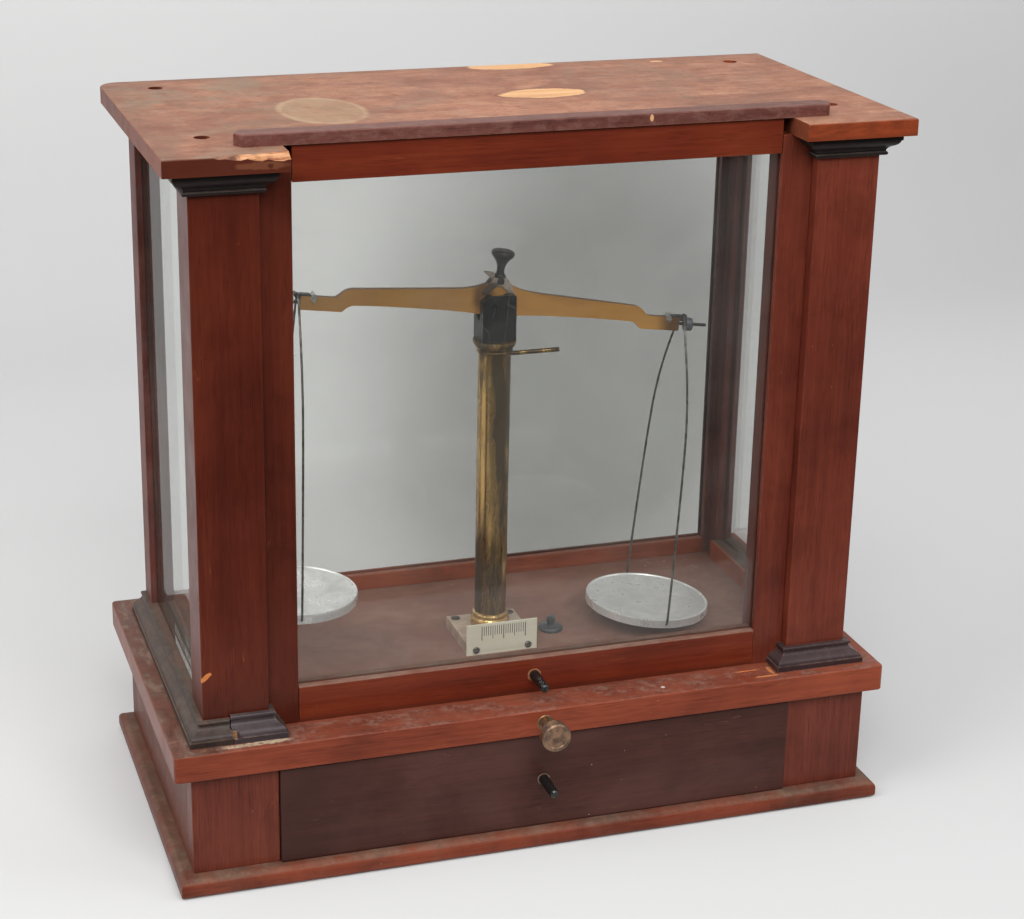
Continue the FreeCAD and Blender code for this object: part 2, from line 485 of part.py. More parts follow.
def end_hook(sign):
    pts = [(112.7, -0.4), (118.5, -0.4), (118.6, -2.5), (121.0, -2.5), (122.6, -0.9), (122.6, 1.5), (121.6, 1.5), (121.1, 0.7),
           (119.4, 0.7), (118.8, 0.8), (112.9, 0.8)]
    h = prism_y([level(sign * x, z) for x, z in pts], BY0, BY1)
    notch = cyl_y(WIRE_R + RUN, sign * HOOK_X, PIVOT_Z + HOOK_Z, -10, 8).fuse(
        box(sign * HOOK_X - WIRE_R - RUN, sign * HOOK_X + WIRE_R + RUN, -10, 8, PIVOT_Z + HOOK_Z, PIVOT_Z + 3))
    notch.rotate(V(sign * HOOK_X, AX_Y, 0), V(0, 0, 1), YAW_RIGHT if sign > 0 else YAW_LEFT)
    return h.cut(notch)


hooks = [end_hook(-1), end_hook(1)]
stud_bore = cyl_z(1.15, 0, AX_Y, PIVOT_Z + 7.5, PIVOT_Z + 20)
beam = beam.cut(knife)
for s in tk + screw_rods:
    beam = beam.cut(s)
beam = beam.cut(stud_bore)
saddle_plate = [level(-4.4, 17.4), level(4.4, 17.4), level(10.6, 7.4), level(7.4, 7.4), level(1.7, 12.6), level(-1.7, 12.6),
                level(-7.4, 7.4), level(-10.6, 7.4)]
saddle = prism_y(saddle_plate, -5.3, BY0).fuse(prism_y(saddle_plate, BY1, 1.3))
saddle = saddle.fuse(box(-4.4, 4.4, -5.3, 1.3, PIVOT_Z + 14.25, PIVOT_Z + 17.4))
saddle = saddle.fuse(prism_y([level(-4.4, 17.4), level(-4.4, 15.8), level(-9.6, 19.6), level(-9.9, 20.3), level(-4.4, 20.3),
                              level(-3.6, 19.4), level(-3.6, 17.4)], -3.6, -0.4))
saddle = saddle.cut(stud_bore)
saddle = saddle.removeSplitter()
kn = turned([(0, 8.0), (1.1, 8.0), (1.1, 17.45), (3.4, 17.45), (3.5, 18.4), (3.1, 19.2), (2.4, 20.0), (2.25, 22.0), (2.5, 24.2),
             (3.3, 26.4), (4.7, 28.4), (6.1, 29.9), (6.8, 31.0), (6.9, 32.2), (6.5, 33.2), (5.2, 33.8), (2.5, 34.1), (0, 34.2)],
            0, AX_Y, PIVOT_Z)


def nut(sign):
    x0, x1 = (123.0, 127.0) if sign > 0 else (-127.0, -123.0)
    return cyl_x(4.1, AX_Y, PIVOT_Z - 4.5, x0, x1).cut(cyl_x(1.05, AX_Y, PIVOT_Z - 4.5, x0 - 1, x1 + 1))


def rest(s):
    return tilt(s, REST_TILT, 0, AX_Y, PIVOT_Z)


put("beam", rest(beam))
put("centre_knife", rest(knife))
put("terminal_knives", *[rest(s) for s in tk])
put("beam_saddle", rest(saddle))
put("end_hooks", *[rest(s) for s in hooks])
put("balance_screw_rods", *[rest(s) for s in screw_rods])
put("gravity_knob", rest(kn))
put("balance_nut_left", rest(nut(-1)))
put("balance_nut_right", rest(nut(1)))


# ------------------------------------------------------------- bows and pans
def bow_and_pan(lean, yaw, hx, hz):
    """Wire bow over the hook, its ends turned in through the pan's skirt."""
    half = [(3.6, 0.0), (6.3, -3.6), (9.2, -9.5), (16.5, -22.5), (24.5, -40), (30.5, -60), (33.8, -85), (36.4, -120),
            (38.6, -155), (39.9, -WIRE_END + 2.2)]
    pts = [V(0, AX_Y - 35.2, -WIRE_END), V(0, AX_Y - 39.9, -WIRE_END)]
    pts += [V(0, AX_Y - w, z) for w, z in half[-2::-1]]
    pts += [V(0, AX_Y + w, z) for w, z in half[:-1]]
    pts += [V(0, AX_Y + 39.9, -WIRE_END), V(0, AX_Y + 35.2, -WIRE_END)]
    radii = []
    for i in range(1, len(pts) - 1):
        a, b, c = pts[i - 1], pts[i], pts[i + 1]
        turn = math.pi - (a - b).getAngle(c - b)
        r = 0.45 * min((a - b).Length, (c - b).Length) / math.tan(turn / 2)
        if abs(b.z + WIRE_END) < 1e-6:
            r = 1.8
        if abs(b.z) < 1e-6:
            r = 1.4 / math.tan(turn / 2)
        radii.append(r)
    bow = rod_along(pts, radii, WIRE_R)
    t = 1.0
    z0 = -BOW_L - PAN_H
    pan = turned([(0, -BOW_L - 0.7), (PAN_R - 1.7, -BOW_L - 0.7), (PAN_R - 1.3, -BOW_L - 0.15), (PAN_R - 0.7, -BOW_L),
                  (PAN_R - 0.15, -BOW_L - 0.3), (PAN_R, -BOW_L - 0.9), (PAN_R, z0), (PAN_R - t, z0), (PAN_R - t, -BOW_L - 2.0),
                  (PAN_R - 1.8, -BOW_L - 1.9), (0, -BOW_L - 1.9)], 0, AX_Y)
    pan = pan.cut(cyl_y(WIRE_R + RUN, 0, -WIRE_END, AX_Y - 45, AX_Y + 45))
    out = []
    for s in (bow, pan):
        s.rotate(V(0, AX_Y, 0), V(0, 0, 1), yaw)
        s = tilt(s, lean, 0, AX_Y, 0)
        s.translate(V(hx, 0, hz))
        out.append(s)
    return out


def hook_point(sign):
    a = math.radians(REST_TILT)
    x, z = sign * HOOK_X, HOOK_Z
    return x * math.cos(a) + z * math.sin(a), PIVOT_Z - x * math.sin(a) + z * math.cos(a)


hx, hz = hook_point(1)
bow, pan = bow_and_pan(LEAN_RIGHT, YAW_RIGHT, hx, hz)
put("bow_right", bow)
put("pan_right", pan)
hx, hz = hook_point(-1)
bow, pan = bow_and_pan(LEAN_LEFT, YAW_LEFT, hx, hz)
put("bow_left", bow)
put("pan_left", pan)

# ------------------------------------------------------------------- export
for name, shape in NODES.items():
    if not shape.isValid():
        print("not valid:", name)
    shape.exportStep("parts/%s.step" % name)
print(len(NODES), "nodes")
for sign, word in ((1, "right"), (-1, "left")):
    hx, hz = hook_point(sign)
    print(word, "hook", round(hx, 3), round(hz, 3))
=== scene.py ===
import bpy
import bmesh
import math
import random
from mathutils import Matrix, Vector


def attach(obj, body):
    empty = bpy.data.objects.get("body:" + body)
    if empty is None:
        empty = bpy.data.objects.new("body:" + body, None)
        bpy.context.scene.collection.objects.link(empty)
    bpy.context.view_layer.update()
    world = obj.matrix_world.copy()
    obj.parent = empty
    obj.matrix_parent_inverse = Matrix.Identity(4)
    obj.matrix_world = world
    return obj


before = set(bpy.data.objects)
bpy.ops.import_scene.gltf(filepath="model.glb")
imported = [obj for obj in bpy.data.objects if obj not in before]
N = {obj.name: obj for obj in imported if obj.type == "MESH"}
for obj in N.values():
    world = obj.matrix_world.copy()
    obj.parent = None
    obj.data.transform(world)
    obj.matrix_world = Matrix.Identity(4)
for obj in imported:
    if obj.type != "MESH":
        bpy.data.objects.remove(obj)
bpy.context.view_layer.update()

scene = bpy.context.scene
MM = 0.001


# ---------------------------------------------------------------- node helpers
class Tree:
    """Short names for building a shader."""

    def __init__(self, name):
        self.mat = bpy.data.materials.new(name)
        self.mat.use_nodes = True
        self.t = self.mat.node_tree
        self.t.nodes.clear()
        self.out = self.t.nodes.new("ShaderNodeOutputMaterial")
        self._co = None
        self._n = {}

    def node(self, kind, **props):
        n = self.t.nodes.new("ShaderNode" + kind)
        for k, v in props.items():
            setattr(n, k, v)
        return n

    def put(self, socket, value):
        if isinstance(value, bpy.types.NodeSocket):
            self.t.links.new(value, socket)
        elif value is not None:
            if hasattr(socket, "default_value"):
                dv = socket.default_value
                if hasattr(dv, "__len__") and not isinstance(value, (tuple, list)):
                    value = [value] * len(dv)
                if hasattr(dv, "__len__") and len(dv) == 4 and len(value) == 3:
                    value = tuple(value) + (1.0,)
                socket.default_value = value

    def co(self):
        if self._co is None:
            self._co = self.node("TexCoord").outputs["Object"]
        return self._co

    def xyz(self):
        if "xyz" not in self._n:
            s = self.node("SeparateXYZ")
            self.put(s.inputs[0], self.co())
            self._n["xyz"] = (s.outputs[0], s.outputs[1], s.outputs[2])
        return self._n["xyz"]

    def normal(self):
        if "nrm" not in self._n:
            g = self.node("NewGeometry")
            s = self.node("SeparateXYZ")
            self.put(s.inputs[0], g.outputs["Normal"])
            self._n["nrm"] = (s.outputs[0], s.outputs[1], s.outputs[2])
            self._n["nvec"] = g.outputs["Normal"]
        return self._n["nrm"]

    def m(self, op, a, b=None, c=None, clamp=False):
        n = self.node("Math", operation=op, use_clamp=clamp)
        self.put(n.inputs[0], a)
        if b is not None:
            self.put(n.inputs[1], b)
        if c is not None:
            self.put(n.inputs[2], c)
        return n.outputs[0]

    def vec(self, op, a, b=None):
        n = self.node("VectorMath", operation=op)
        self.put(n.inputs[0], a)
        if b is not None:
            self.put(n.inputs[1], b)
        return n.outputs["Value"] if op in ("LENGTH", "DOT_PRODUCT", "DISTANCE") else n.outputs[0]

    def scaled(self, s, shift=(0, 0, 0), turn=(0, 0, 0), co=None):
        n = self.node("Mapping")
        self.put(n.inputs["Vector"], co if co is not None else self.co())
        n.inputs["Scale"].default_value = s if hasattr(s, "__len__") else (s, s, s)
        n.inputs["Location"].default_value = shift
        n.inputs["Rotation"].default_value = turn
        return n.outputs[0]

    def noise(self, scale, detail=3.0, rough=0.55, distort=0.0, co=None, stretch=None, shift=(0, 0, 0)):
        n = self.node("TexNoise")
        v = self.scaled(stretch, shift, co=co) if stretch else (self.scaled(1.0, shift, co=co) if shift != (0, 0, 0) else (co or self.co()))
        self.put(n.inputs["Vector"], v)
        n.inputs["Scale"].default_value = scale
        n.inputs["Detail"].default_value = detail
        n.inputs["Roughness"].default_value = rough
        n.inputs["Distortion"].default_value = distort
        return n.outputs["Fac"]

    def voronoi(self, scale, co=None, stretch=None, shift=(0, 0, 0), feature="F1", out="Distance", rand=1.0):
        n = self.node("TexVoronoi", feature=feature)
        self.put(n.inputs["Vector"], self.scaled(stretch or 1.0, shift, co=co))
        n.inputs["Scale"].default_value = scale
        n.inputs["Randomness"].default_value = rand
        return n.outputs[out]

    def ramp(self, fac, stops, mode="LINEAR"):
        n = self.node("ValToRGB")
        self.put(n.inputs[0], fac)
        r = n.color_ramp
        r.interpolation = mode
        while len(r.elements) > 1:
            r.elements.remove(r.elements[-1])
        first = True
        for p, c in stops:
            c = (c, c, c, 1) if not hasattr(c, "__len__") else (tuple(c) + (1,) if len(c) == 3 else c)
            if first:
                r.elements[0].position = p
                r.elements[0].color = c
                first = False
            else:
                e = r.elements.new(p)
                e.color = c
        return n.outputs[0]

    def step(self, v, lo, hi):
        """0 below lo, 1 above hi, smooth between (lo may be above hi)."""
        n = self.node("MapRange", interpolation_type="SMOOTHSTEP")
        self.put(n.inputs["Value"], v)
        flip = lo > hi
        n.inputs["From Min"].default_value = hi if flip else lo
        n.inputs["From Max"].default_value = lo if flip else hi
        n.inputs["To Min"].default_value = 1.0 if flip else 0.0
        n.inputs["To Max"].default_value = 0.0 if flip else 1.0
        return n.outputs[0]

    def lin(self, v, a, b, c, d):
        n = self.node("MapRange")
        self.put(n.inputs["Value"], v)
        n.inputs["From Min"].default_value = a
        n.inputs["From Max"].default_value = b
        n.inputs["To Min"].default_value = c
        n.inputs["To Max"].default_value = d
        return n.outputs[0]

    def mix(self, fac, a, b, blend="MIX"):
        n = self.node("Mix", data_type="RGBA", blend_type=blend)
        self.put(n.inputs[0], fac)
        self.put(n.inputs[6], a)
        self.put(n.inputs[7], b)
        return n.outputs[2]

    def mixf(self, fac, a, b):
        n = self.node("Mix", data_type="FLOAT")
        self.put(n.inputs[0], fac)
        self.put(n.inputs[2], a)
        self.put(n.inputs[3], b)
        return n.outputs[0]

    def edge(self, radius):
        """How far the surface turns within radius: 0 on a flat, towards 1 on an edge."""
        key = ("edge", radius)
        if key not in self._n:
            b = self.node("Bevel", samples=6)
            b.inputs["Radius"].default_value = radius
            self.normal()
            d = self.vec("DOT_PRODUCT", self._n["nvec"], b.outputs[0])
            self._n[key] = self.m("SUBTRACT", 1.0, d, clamp=True)
        return self._n[key]

    def bump(self, height, strength=0.3, distance=0.0002, normal=None):
        n = self.node("Bump")
        n.inputs["Strength"].default_value = strength
        n.inputs["Distance"].default_value = distance
        self.put(n.inputs["Height"], height)
        if normal is not None:
            self.put(n.inputs["Normal"], normal)
        return n.outputs[0]

    def spot(self, x, y, rx, ry, z=None, warp=0.12, soft=0.12, seed=0.0, scale=160.0, axes=(0, 1)):
        """1 inside an ellipse with a ragged edge, 0 outside, on the plane of the two axes."""
        c = self.xyz()
        u = self.m("DIVIDE", self.m("SUBTRACT", c[axes[0]], x), rx)
        v = self.m("DIVIDE", self.m("SUBTRACT", c[axes[1]], y), ry)
        d = self.m("SQRT", self.m("ADD", self.m("MULTIPLY", u, u), self.m("MULTIPLY", v, v)))
        w = self.noise(scale, 4, 0.6, shift=(seed, seed * 0.7, 0.1))
        d = self.m("ADD", d, self.m("MULTIPLY", self.m("SUBTRACT", w, 0.5), warp * 4))
        return self.step(d, 1.0 + soft, 1.0 - soft)

    def principled(self, **inputs):
        p = self.node("BsdfPrincipled")
        for k, v in inputs.items():
            self.put(p.inputs[k.replace("_", " ")], v)
        self.t.links.new(p.outputs[0], self.out.inputs["Surface"])
        return p


# ----------------------------------------------------------------------- wood
def sc(c, k):
    return tuple(v * k for v in c)


def t_mix(a, b, k):
    return tuple(p + (q - p) * k for p, q in zip(a, b))


def wood(name, dark, mid, light, grain="z", seed=0.0, rough=0.36, dust=0.0, dust_col=(0.30, 0.235, 0.20),
         wear=0.5, wear_col=(0.42, 0.13, 0.045), coat=0.06, figure=1.0, pore=1.0, extra=None, scuff=0.35,
         dust_side=0.0, spec=0.20, grime=0.0, shade=None, dust_where=None, tint=(1.0, 0.74, 0.62)):
    """Varnished mahogany: ribbon figure along the grain, short dark pores, darker and lighter
    bands, rubbed edges, fine scratches, and dust on what faces up."""
    t = Tree(name)

    def along(k):
        return {"x": (k, 1, 1), "y": (1, k, 1), "z": (1, 1, k)}[grain]
    sh = (seed, seed * 1.7, seed * 0.6)
    wob = t.noise(6, 2, 0.5, 0.0, shift=(seed, 3, 1))
    fig = t.noise(46, 5, 0.6, 0.9, stretch=along(0.085), shift=sh)
    band = t.noise(230, 4, 0.62, 0.4, stretch=along(0.020), shift=sh)
    cloud = t.noise(11, 4, 0.55, 0.3, shift=sh)
    fine = t.noise(1100, 3, 0.6, 0.0, stretch=along(0.016), shift=sh)
    fleck = t.noise(420, 3, 0.7, 0.2, stretch=along(0.10), shift=(seed, 2, 2))
    v = t.m("ADD", t.m("MULTIPLY", t.m("SUBTRACT", fig, 0.5), 0.34 * figure), t.m("MULTIPLY", t.m("SUBTRACT", band, 0.5), 0.24))
    v = t.m("ADD", t.m("ADD", v, 0.45), t.m("MULTIPLY", t.m("SUBTRACT", cloud, 0.5), 0.50))
    v = t.m("ADD", v, t.m("MULTIPLY", t.m("SUBTRACT", fine, 0.5), 0.20))
    v = t.m("ADD", v, t.m("MULTIPLY", t.m("SUBTRACT", fleck, 0.5), 0.18))
    col = t.ramp(v, [(0.14, sc(dark, 0.75)), (0.30, t_mix(dark, mid, 0.25)), (0.45, mid), (0.70, light)])
    # pores: short dark dashes along the grain
    pores = t.voronoi(1300, stretch=along(0.05), shift=sh)
    pm = t.m("MULTIPLY", t.step(pores, 0.46, 0.18), t.step(t.noise(300, 2, 0.5, stretch=along(0.05), shift=sh), 0.40, 0.60))
    pm = t.m("MULTIPLY", pm, 0.55 * pore)
    col = t.mix(t.m("MULTIPLY", pm, 0.62), col, sc(dark, 0.28))
    if grime > 0:
        gm = t.m("MULTIPLY", t.step(t.noise(24, 5, 0.62, 0.4, shift=(seed, 8, 5)), 0.42, 0.70), grime)
        col = t.mix(gm, col, sc(dark, 0.34))
    if shade is not None:
        axis, lo, hi, k = shade
        g = t.lin(t.xyz()[axis], lo, hi, 0.0, 1.0)
        col = t.mix(t.m("MULTIPLY", g, k), col, sc(dark, 0.5))
    # rubbed edges, broken up
    e = t.edge(0.0010)
    patch = t.noise(95, 5, 0.7, shift=(seed + 3, 0, 0))
    em = t.m("MULTIPLY", t.step(e, 0.012, 0.13), t.step(patch, 0.42, 0.60))
    em = t.m("MULTIPLY", em, wear)
    wc = t.mix(t.step(t.noise(300, 3, 0.6, shift=(seed, 6, 6)), 0.4, 0.6), sc(wear_col, 0.62), wear_col)
    col = t.mix(em, col, wc)
    # small pale nicks and dark dents
    nick = t.voronoi(120, shift=(seed * 2 + 1, 0.3, 0.7))
    sel = t.noise(21, 1, 0.5, shift=(seed, 5, 2))
    nm = t.m("MULTIPLY", t.step(nick, 0.055, 0.030), t.step(sel, 0.60, 0.63))
    col = t.mix(t.m("MULTIPLY", nm, 0.75 * scuff), col, (0.42, 0.20, 0.10))
    dent = t.m("MULTIPLY", t.step(nick, 0.085, 0.045), t.step(sel, 0.36, 0.33))
    col = t.mix(t.m("MULTIPLY", dent, 0.8 * scuff), col, sc(dark, 0.25))
    # hair scratches: thin broken lines that follow a slow curve
    scr = t.noise(170, 2, 0.5, 0.25, stretch={"x": (0.07, 0.5, 1), "y": (0.5, 0.07, 1), "z": (1, 0.5, 0.07)}[grain], shift=(seed + 4, 1, 2))
    sm = t.m("MULTIPLY", t.step(t.m("ABSOLUTE", t.m("SUBTRACT", scr, 0.5)), 0.0045, 0.0012), t.step(t.noise(38, 2, 0.5, shift=(seed, 1, 4)), 0.60, 0.66))
    col = t.mix(t.m("MULTIPLY", sm, scuff * 0.55), col, wear_col)
    r = t.m("ADD", rough, t.m("MULTIPLY", t.m("SUBTRACT", t.noise(45, 5, 0.62, shift=sh), 0.5), 0.28))
    r = t.m("ADD", r, t.m("MULTIPLY", t.m("ADD", em, sm), 0.20))
    coat_w = coat
    if extra is not None:
        col, r, coat_w = extra(t, col, r, coat)
    nx, ny, nz = t.normal()
    if dust > 0:
        up = t.step(nz, 0.25, 0.85)
        dn = t.noise(38, 6, 0.66, 0.3, shift=(seed + 9, 1, 1))
        dn2 = t.noise(520, 3, 0.7, shift=(seed, 2, 3))
        dv = t.m("ADD", dn, t.m("MULTIPLY", t.m("SUBTRACT", dn2, 0.5), 0.55))
        dm = t.m("MULTIPLY", up, t.lin(dv, 0.30, 0.66, 0.12, 1.0))
        dm = t.m("MULTIPLY", dm, dust, clamp=True)
        if dust_where is not None:
            dm = t.m("MULTIPLY", dm, dust_where(t))
        if dust_side > 0:
            dm = t.m("MAXIMUM", dm, t.m("MULTIPLY", t.step(dn, 0.40, 0.75), dust_side))
        dc = t.mix(t.step(t.noise(120, 4, 0.65, shift=(seed, 4, 9)), 0.35, 0.65), sc(dust_col, 0.62), dust_col)
        col = t.mix(dm, col, dc)
        r = t.mixf(dm, r, 0.8)
        coat_w = t.m("MULTIPLY", t.m("SUBTRACT", 1.0, dm), coat_w)
    h = t.m("ADD", t.m("MULTIPLY", pm, -0.8), t.m("MULTIPLY", band, 0.5))
    b = t.bump(h, 0.16, 0.00010)
    b = t.bump(t.m("ADD", t.m("MULTIPLY", nm, -1.0), t.m("MULTIPLY", dent, -1.0)), 0.5, 0.0003, b)
    b = t.bump(wob, 0.10, 0.0015, b)
    t.principled(Base_Color=col, Roughness=r, Normal=b, Coat_Weight=coat_w, Coat_Roughness=0.12, IOR=1.45, Specular_IOR_Level=spec, Specular_Tint=tint)
    return t.mat


def column_marks(t, col, r, coat):
    """An orange chip low on the left column's outer front edge, small dents, worn corner."""
    x, y, z = t.xyz()
    dx, dz = t.m("SUBTRACT", x, -0.1950), t.m("SUBTRACT", z, 0.1258)
    u = t.m("DIVIDE", t.m("ADD", t.m("MULTIPLY", dx, 0.77), t.m("MULTIPLY", dz, 0.64)), 0.0043)
    v = t.m("DIVIDE", t.m("SUBTRACT", t.m("MULTIPLY", dz, 0.77), t.m("MULTIPLY", dx, 0.64)), 0.0013)
    d = t.m("SQRT", t.m("ADD", t.m("MULTIPLY", u, u), t.m("MULTIPLY", v, v)))
    d = t.m("ADD", d, t.m("MULTIPLY", t.m("SUBTRACT", t.noise(380, 4, 0.6, shift=(2, 1, 0)), 0.5), 1.1))
    m = t.m("MAXIMUM", t.step(d, 1.08, 0.92), t.spot(-0.1990, 0.1228, 0.0016, 0.0026, axes=(0, 2), warp=0.30, soft=0.12, seed=2.6, scale=380))
    m = t.m("MULTIPLY", m, t.step(y, -0.0868, -0.0885))
    col = t.mix(m, col, t.mix(t.noise(600, 3, 0.6), (0.42, 0.11, 0.030), (0.66, 0.25, 0.075)))
    low = t.m("MULTIPLY", t.step(z, 0.130, 0.100), 0.35)
    col = t.mix(low, col, (0.030, 0.010, 0.008))
    # darker towards the column's foot, just above the moulding
    return col, t.mixf(m, r, 0.6), t.m("MULTIPLY", coat, t.m("SUBTRACT", 1.0, m))


def ring_round(t, col, cx, cz, r0, r1, tone, y_face):
    x, y, z = t.xyz()
    dx = t.m("SUBTRACT", x, cx)
    dz = t.m("SUBTRACT", z, cz)
    d = t.m("SQRT", t.m("ADD", t.m("MULTIPLY", dx, dx), t.m("MULTIPLY", dz, dz)))
    d = t.m("ADD", d, t.m("MULTIPLY", t.m("SUBTRACT", t.noise(420, 3, 0.6), 0.5), 0.0016))
    k = t.m("MULTIPLY", t.m("MULTIPLY", t.step(d, r1, r1 - 0.0005), t.step(d, r0 - 0.0003, r0)), t.step(y, y_face + 0.001, y_face + 0.0005))
    return t.mix(t.m("MULTIPLY", k, 0.85), col, tone)


def sash_marks(t, col, r, coat):
    """Bare ring round the peg, and painted shadow darkening the lower edge where the rail meets the deck."""
    x, y, z = t.xyz()
    col = ring_round(t, col, 0.001, 0.0988, 0.0031, 0.0043, (0.36, 0.17, 0.085), -0.0832)
    lip = t.m("MULTIPLY", t.m("MULTIPLY", t.step(z, 0.1088, 0.1094), t.step(z, 0.1120, 0.1110)), t.lin(t.noise(120, 5, 0.7, stretch=(0.3, 1, 1), shift=(1, 3, 7)), 0.35, 0.6, 0.25, 0.85))
    col = t.mix(lip, col, (0.205, 0.140, 0.110))
    # painted shadow: the rail's lower edge is darkened for the gap above the deck
    low = t.m("MULTIPLY", t.step(z, 0.0915, 0.0878), 0.55)
    col = t.mix(low, col, (0.045, 0.012, 0.008))
    return col, r, coat


def drawer_marks(t, col, r, coat):
    """Darkened varnish, lifted towards the left, rubbed pale near the peg, with small pale specks."""
    x, y, z = t.xyz()
    col = ring_round(t, col, 0.001, 0.0410, 0.0031, 0.0040, (0.26, 0.17, 0.13), -0.1040)
    bl = t.m("MULTIPLY", t.step(t.noise(13, 5, 0.62, 0.5, stretch=(0.5, 1, 1), shift=(5, 5, 5)), 0.46, 0.66), 0.45)
    col = t.mix(bl, col, (0.090, 0.040, 0.034))
    left = t.m("MULTIPLY", t.step(x, -0.075, -0.150), 0.42)
    col = t.mix(left, col, (0.036, 0.016, 0.014))
    sp = t.voronoi(70, shift=(0.9, 0.2, 0.3))
    spm = t.m("MULTIPLY", t.step(sp, 0.030, 0.018), t.step(t.noise(16, 2, 0.5, shift=(1, 6, 1)), 0.52, 0.56))
    col = t.mix(t.m("MULTIPLY", spm, 0.8), col, (0.55, 0.52, 0.48))
    return col, t.m("ADD", r, t.m("MULTIPLY", bl, 0.15)), coat


def top_marks(t, col, r, coat):
    """The top board: varnish worn to tan in clouds, a pale ring where a pot stood, bare
    patches, spills, and the raw splintered front edge of the left ear."""
    x, y, z = t.xyz()
    nx, ny, nz = t.normal()
    up = t.step(nz, 0.5, 0.9)
    c1 = t.noise(17, 8, 0.72, 0.9, stretch=(0.75, 1, 1), shift=(4, 2, 0))
    c2 = t.noise(85, 5, 0.68, 0.3, stretch=(0.16, 1, 1), shift=(1, 7, 0))
    c3 = t.noise(420, 4, 0.7, 0.1, stretch=(0.10, 1, 1), shift=(3, 1, 0))
    wv = t.m("ADD", c1, t.m("ADD", t.m("MULTIPLY", t.m("SUBTRACT", c2, 0.5), 0.42), t.m("MULTIPLY", t.m("SUBTRACT", c3, 0.5), 0.30)))
    worn = t.m("MULTIPLY", t.lin(wv, 0.30, 0.60, 0.25, 1.0), up)
    tan = t.m("ADD", t.m("MULTIPLY", t.noise(230, 5, 0.65, stretch=(0.05, 1, 1), shift=(2, 2, 2)), 0.40), t.m("MULTIPLY", t.noise(60, 7, 0.72, 0.6, shift=(7, 2, 2)), 0.60))
    tan = t.ramp(tan, [(0.34, (0.27, 0.105, 0.060)), (0.50, (0.42, 0.195, 0.118)), (0.66, (0.54, 0.300, 0.195))])
    col = t.mix(t.m("MULTIPLY", worn, 0.80), col, tan)
    red = t.m("MULTIPLY", t.step(t.noise(24, 7, 0.70, 0.8, shift=(6, 6, 1)), 0.49, 0.62), up)
    col = t.mix(t.m("MULTIPLY", red, 0.50), col, (0.185, 0.060, 0.036))
    lp = t.m("MULTIPLY", t.m("MULTIPLY", t.step(x, -0.010, -0.150), up), t.lin(t.noise(38, 8, 0.74, 0.9, stretch=(0.7, 1, 1), shift=(2, 8, 8)), 0.34, 0.62, 0.05, 0.95))
    col = t.mix(t.m("MULTIPLY", lp, 0.62), col, t.mix(t.step(t.noise(33, 6, 0.7, 0.6, shift=(9, 8, 8)), 0.44, 0.56), (0.150, 0.050, 0.030), (0.150, 0.110, 0.070)))
    specks = t.m("MULTIPLY", t.step(t.noise(520, 4, 0.75, 0.2, stretch=(0.5, 1, 1), shift=(3, 9, 4)), 0.54, 0.62), up)
    col = t.mix(t.m("MULTIPLY", specks, 0.34), col, (0.115, 0.050, 0.034))
    front = t.step(ny, -0.5, -0.8)
    ft = t.mix(t.step(x, -0.12, 0.10), (0.060, 0.0105, 0.0055), (0.270, 0.048, 0.0135))
    ft = t.mix(t.m("MULTIPLY", t.step(z, 0.4155, 0.4120), 0.45), ft, sc((0.092, 0.0155, 0.0070), 0.8))
    ft = t.mix(t.m("MULTIPLY", t.step(t.noise(60, 6, 0.7, 0.4, stretch=(0.3, 1, 1), shift=(1, 8, 3)), 0.46, 0.62), 0.5), ft, sc((0.092, 0.0155, 0.0070), 0.7))
    col = t.mix(t.m("MULTIPLY", front, 0.85), col, ft)
    grey = t.m("MULTIPLY", t.step(t.noise(15, 6, 0.68, 0.8, shift=(8, 3, 1)), 0.50, 0.66), up)
    side = t.step(x, -0.02, -0.10)
    col = t.mix(t.m("MULTIPLY", grey, t.m("ADD", 0.22, t.m("MULTIPLY", side, 0.40))), col, (0.205, 0.165, 0.120))
    rimw = t.m("MULTIPLY", t.m("MAXIMUM", t.step(y, 0.098, 0.108), t.step(x, -0.196, -0.208)), up)
    col = t.mix(t.m("MULTIPLY", rimw, t.m("MULTIPLY", t.step(c2, 0.38, 0.6), 0.5)), col, (0.13, 0.060, 0.045))
    # round stain
    dx = t.m("SUBTRACT", x, -0.1038)
    dy = t.m("MULTIPLY", t.m("SUBTRACT", y, -0.0015), 0.66)
    d = t.m("SQRT", t.m("ADD", t.m("MULTIPLY", dx, dx), t.m("MULTIPLY", dy, dy)))
    d = t.m("ADD", d, t.m("MULTIPLY", t.m("SUBTRACT", t.noise(90, 5, 0.65, shift=(3, 3, 3)), 0.5), 0.0044))
    disc = t.m("MULTIPLY", t.step(d, 0.0248, 0.0218), up)
    rim = t.m("MULTIPLY", t.m("MULTIPLY", t.step(d, 0.0262, 0.0238), t.step(d, 0.0205, 0.0232)), up)
    blot = t.step(t.noise(70, 6, 0.68, shift=(5, 1, 2)), 0.34, 0.62)
    col = t.mix(t.m("MULTIPLY", disc, t.m("ADD", 0.34, t.m("MULTIPLY", blot, 0.42))), col, (0.33, 0.225, 0.130))
    col = t.mix(t.m("MULTIPLY", rim, t.m("ADD", 0.22, t.m("MULTIPLY", blot, 0.42))), col, (0.43, 0.30, 0.185))
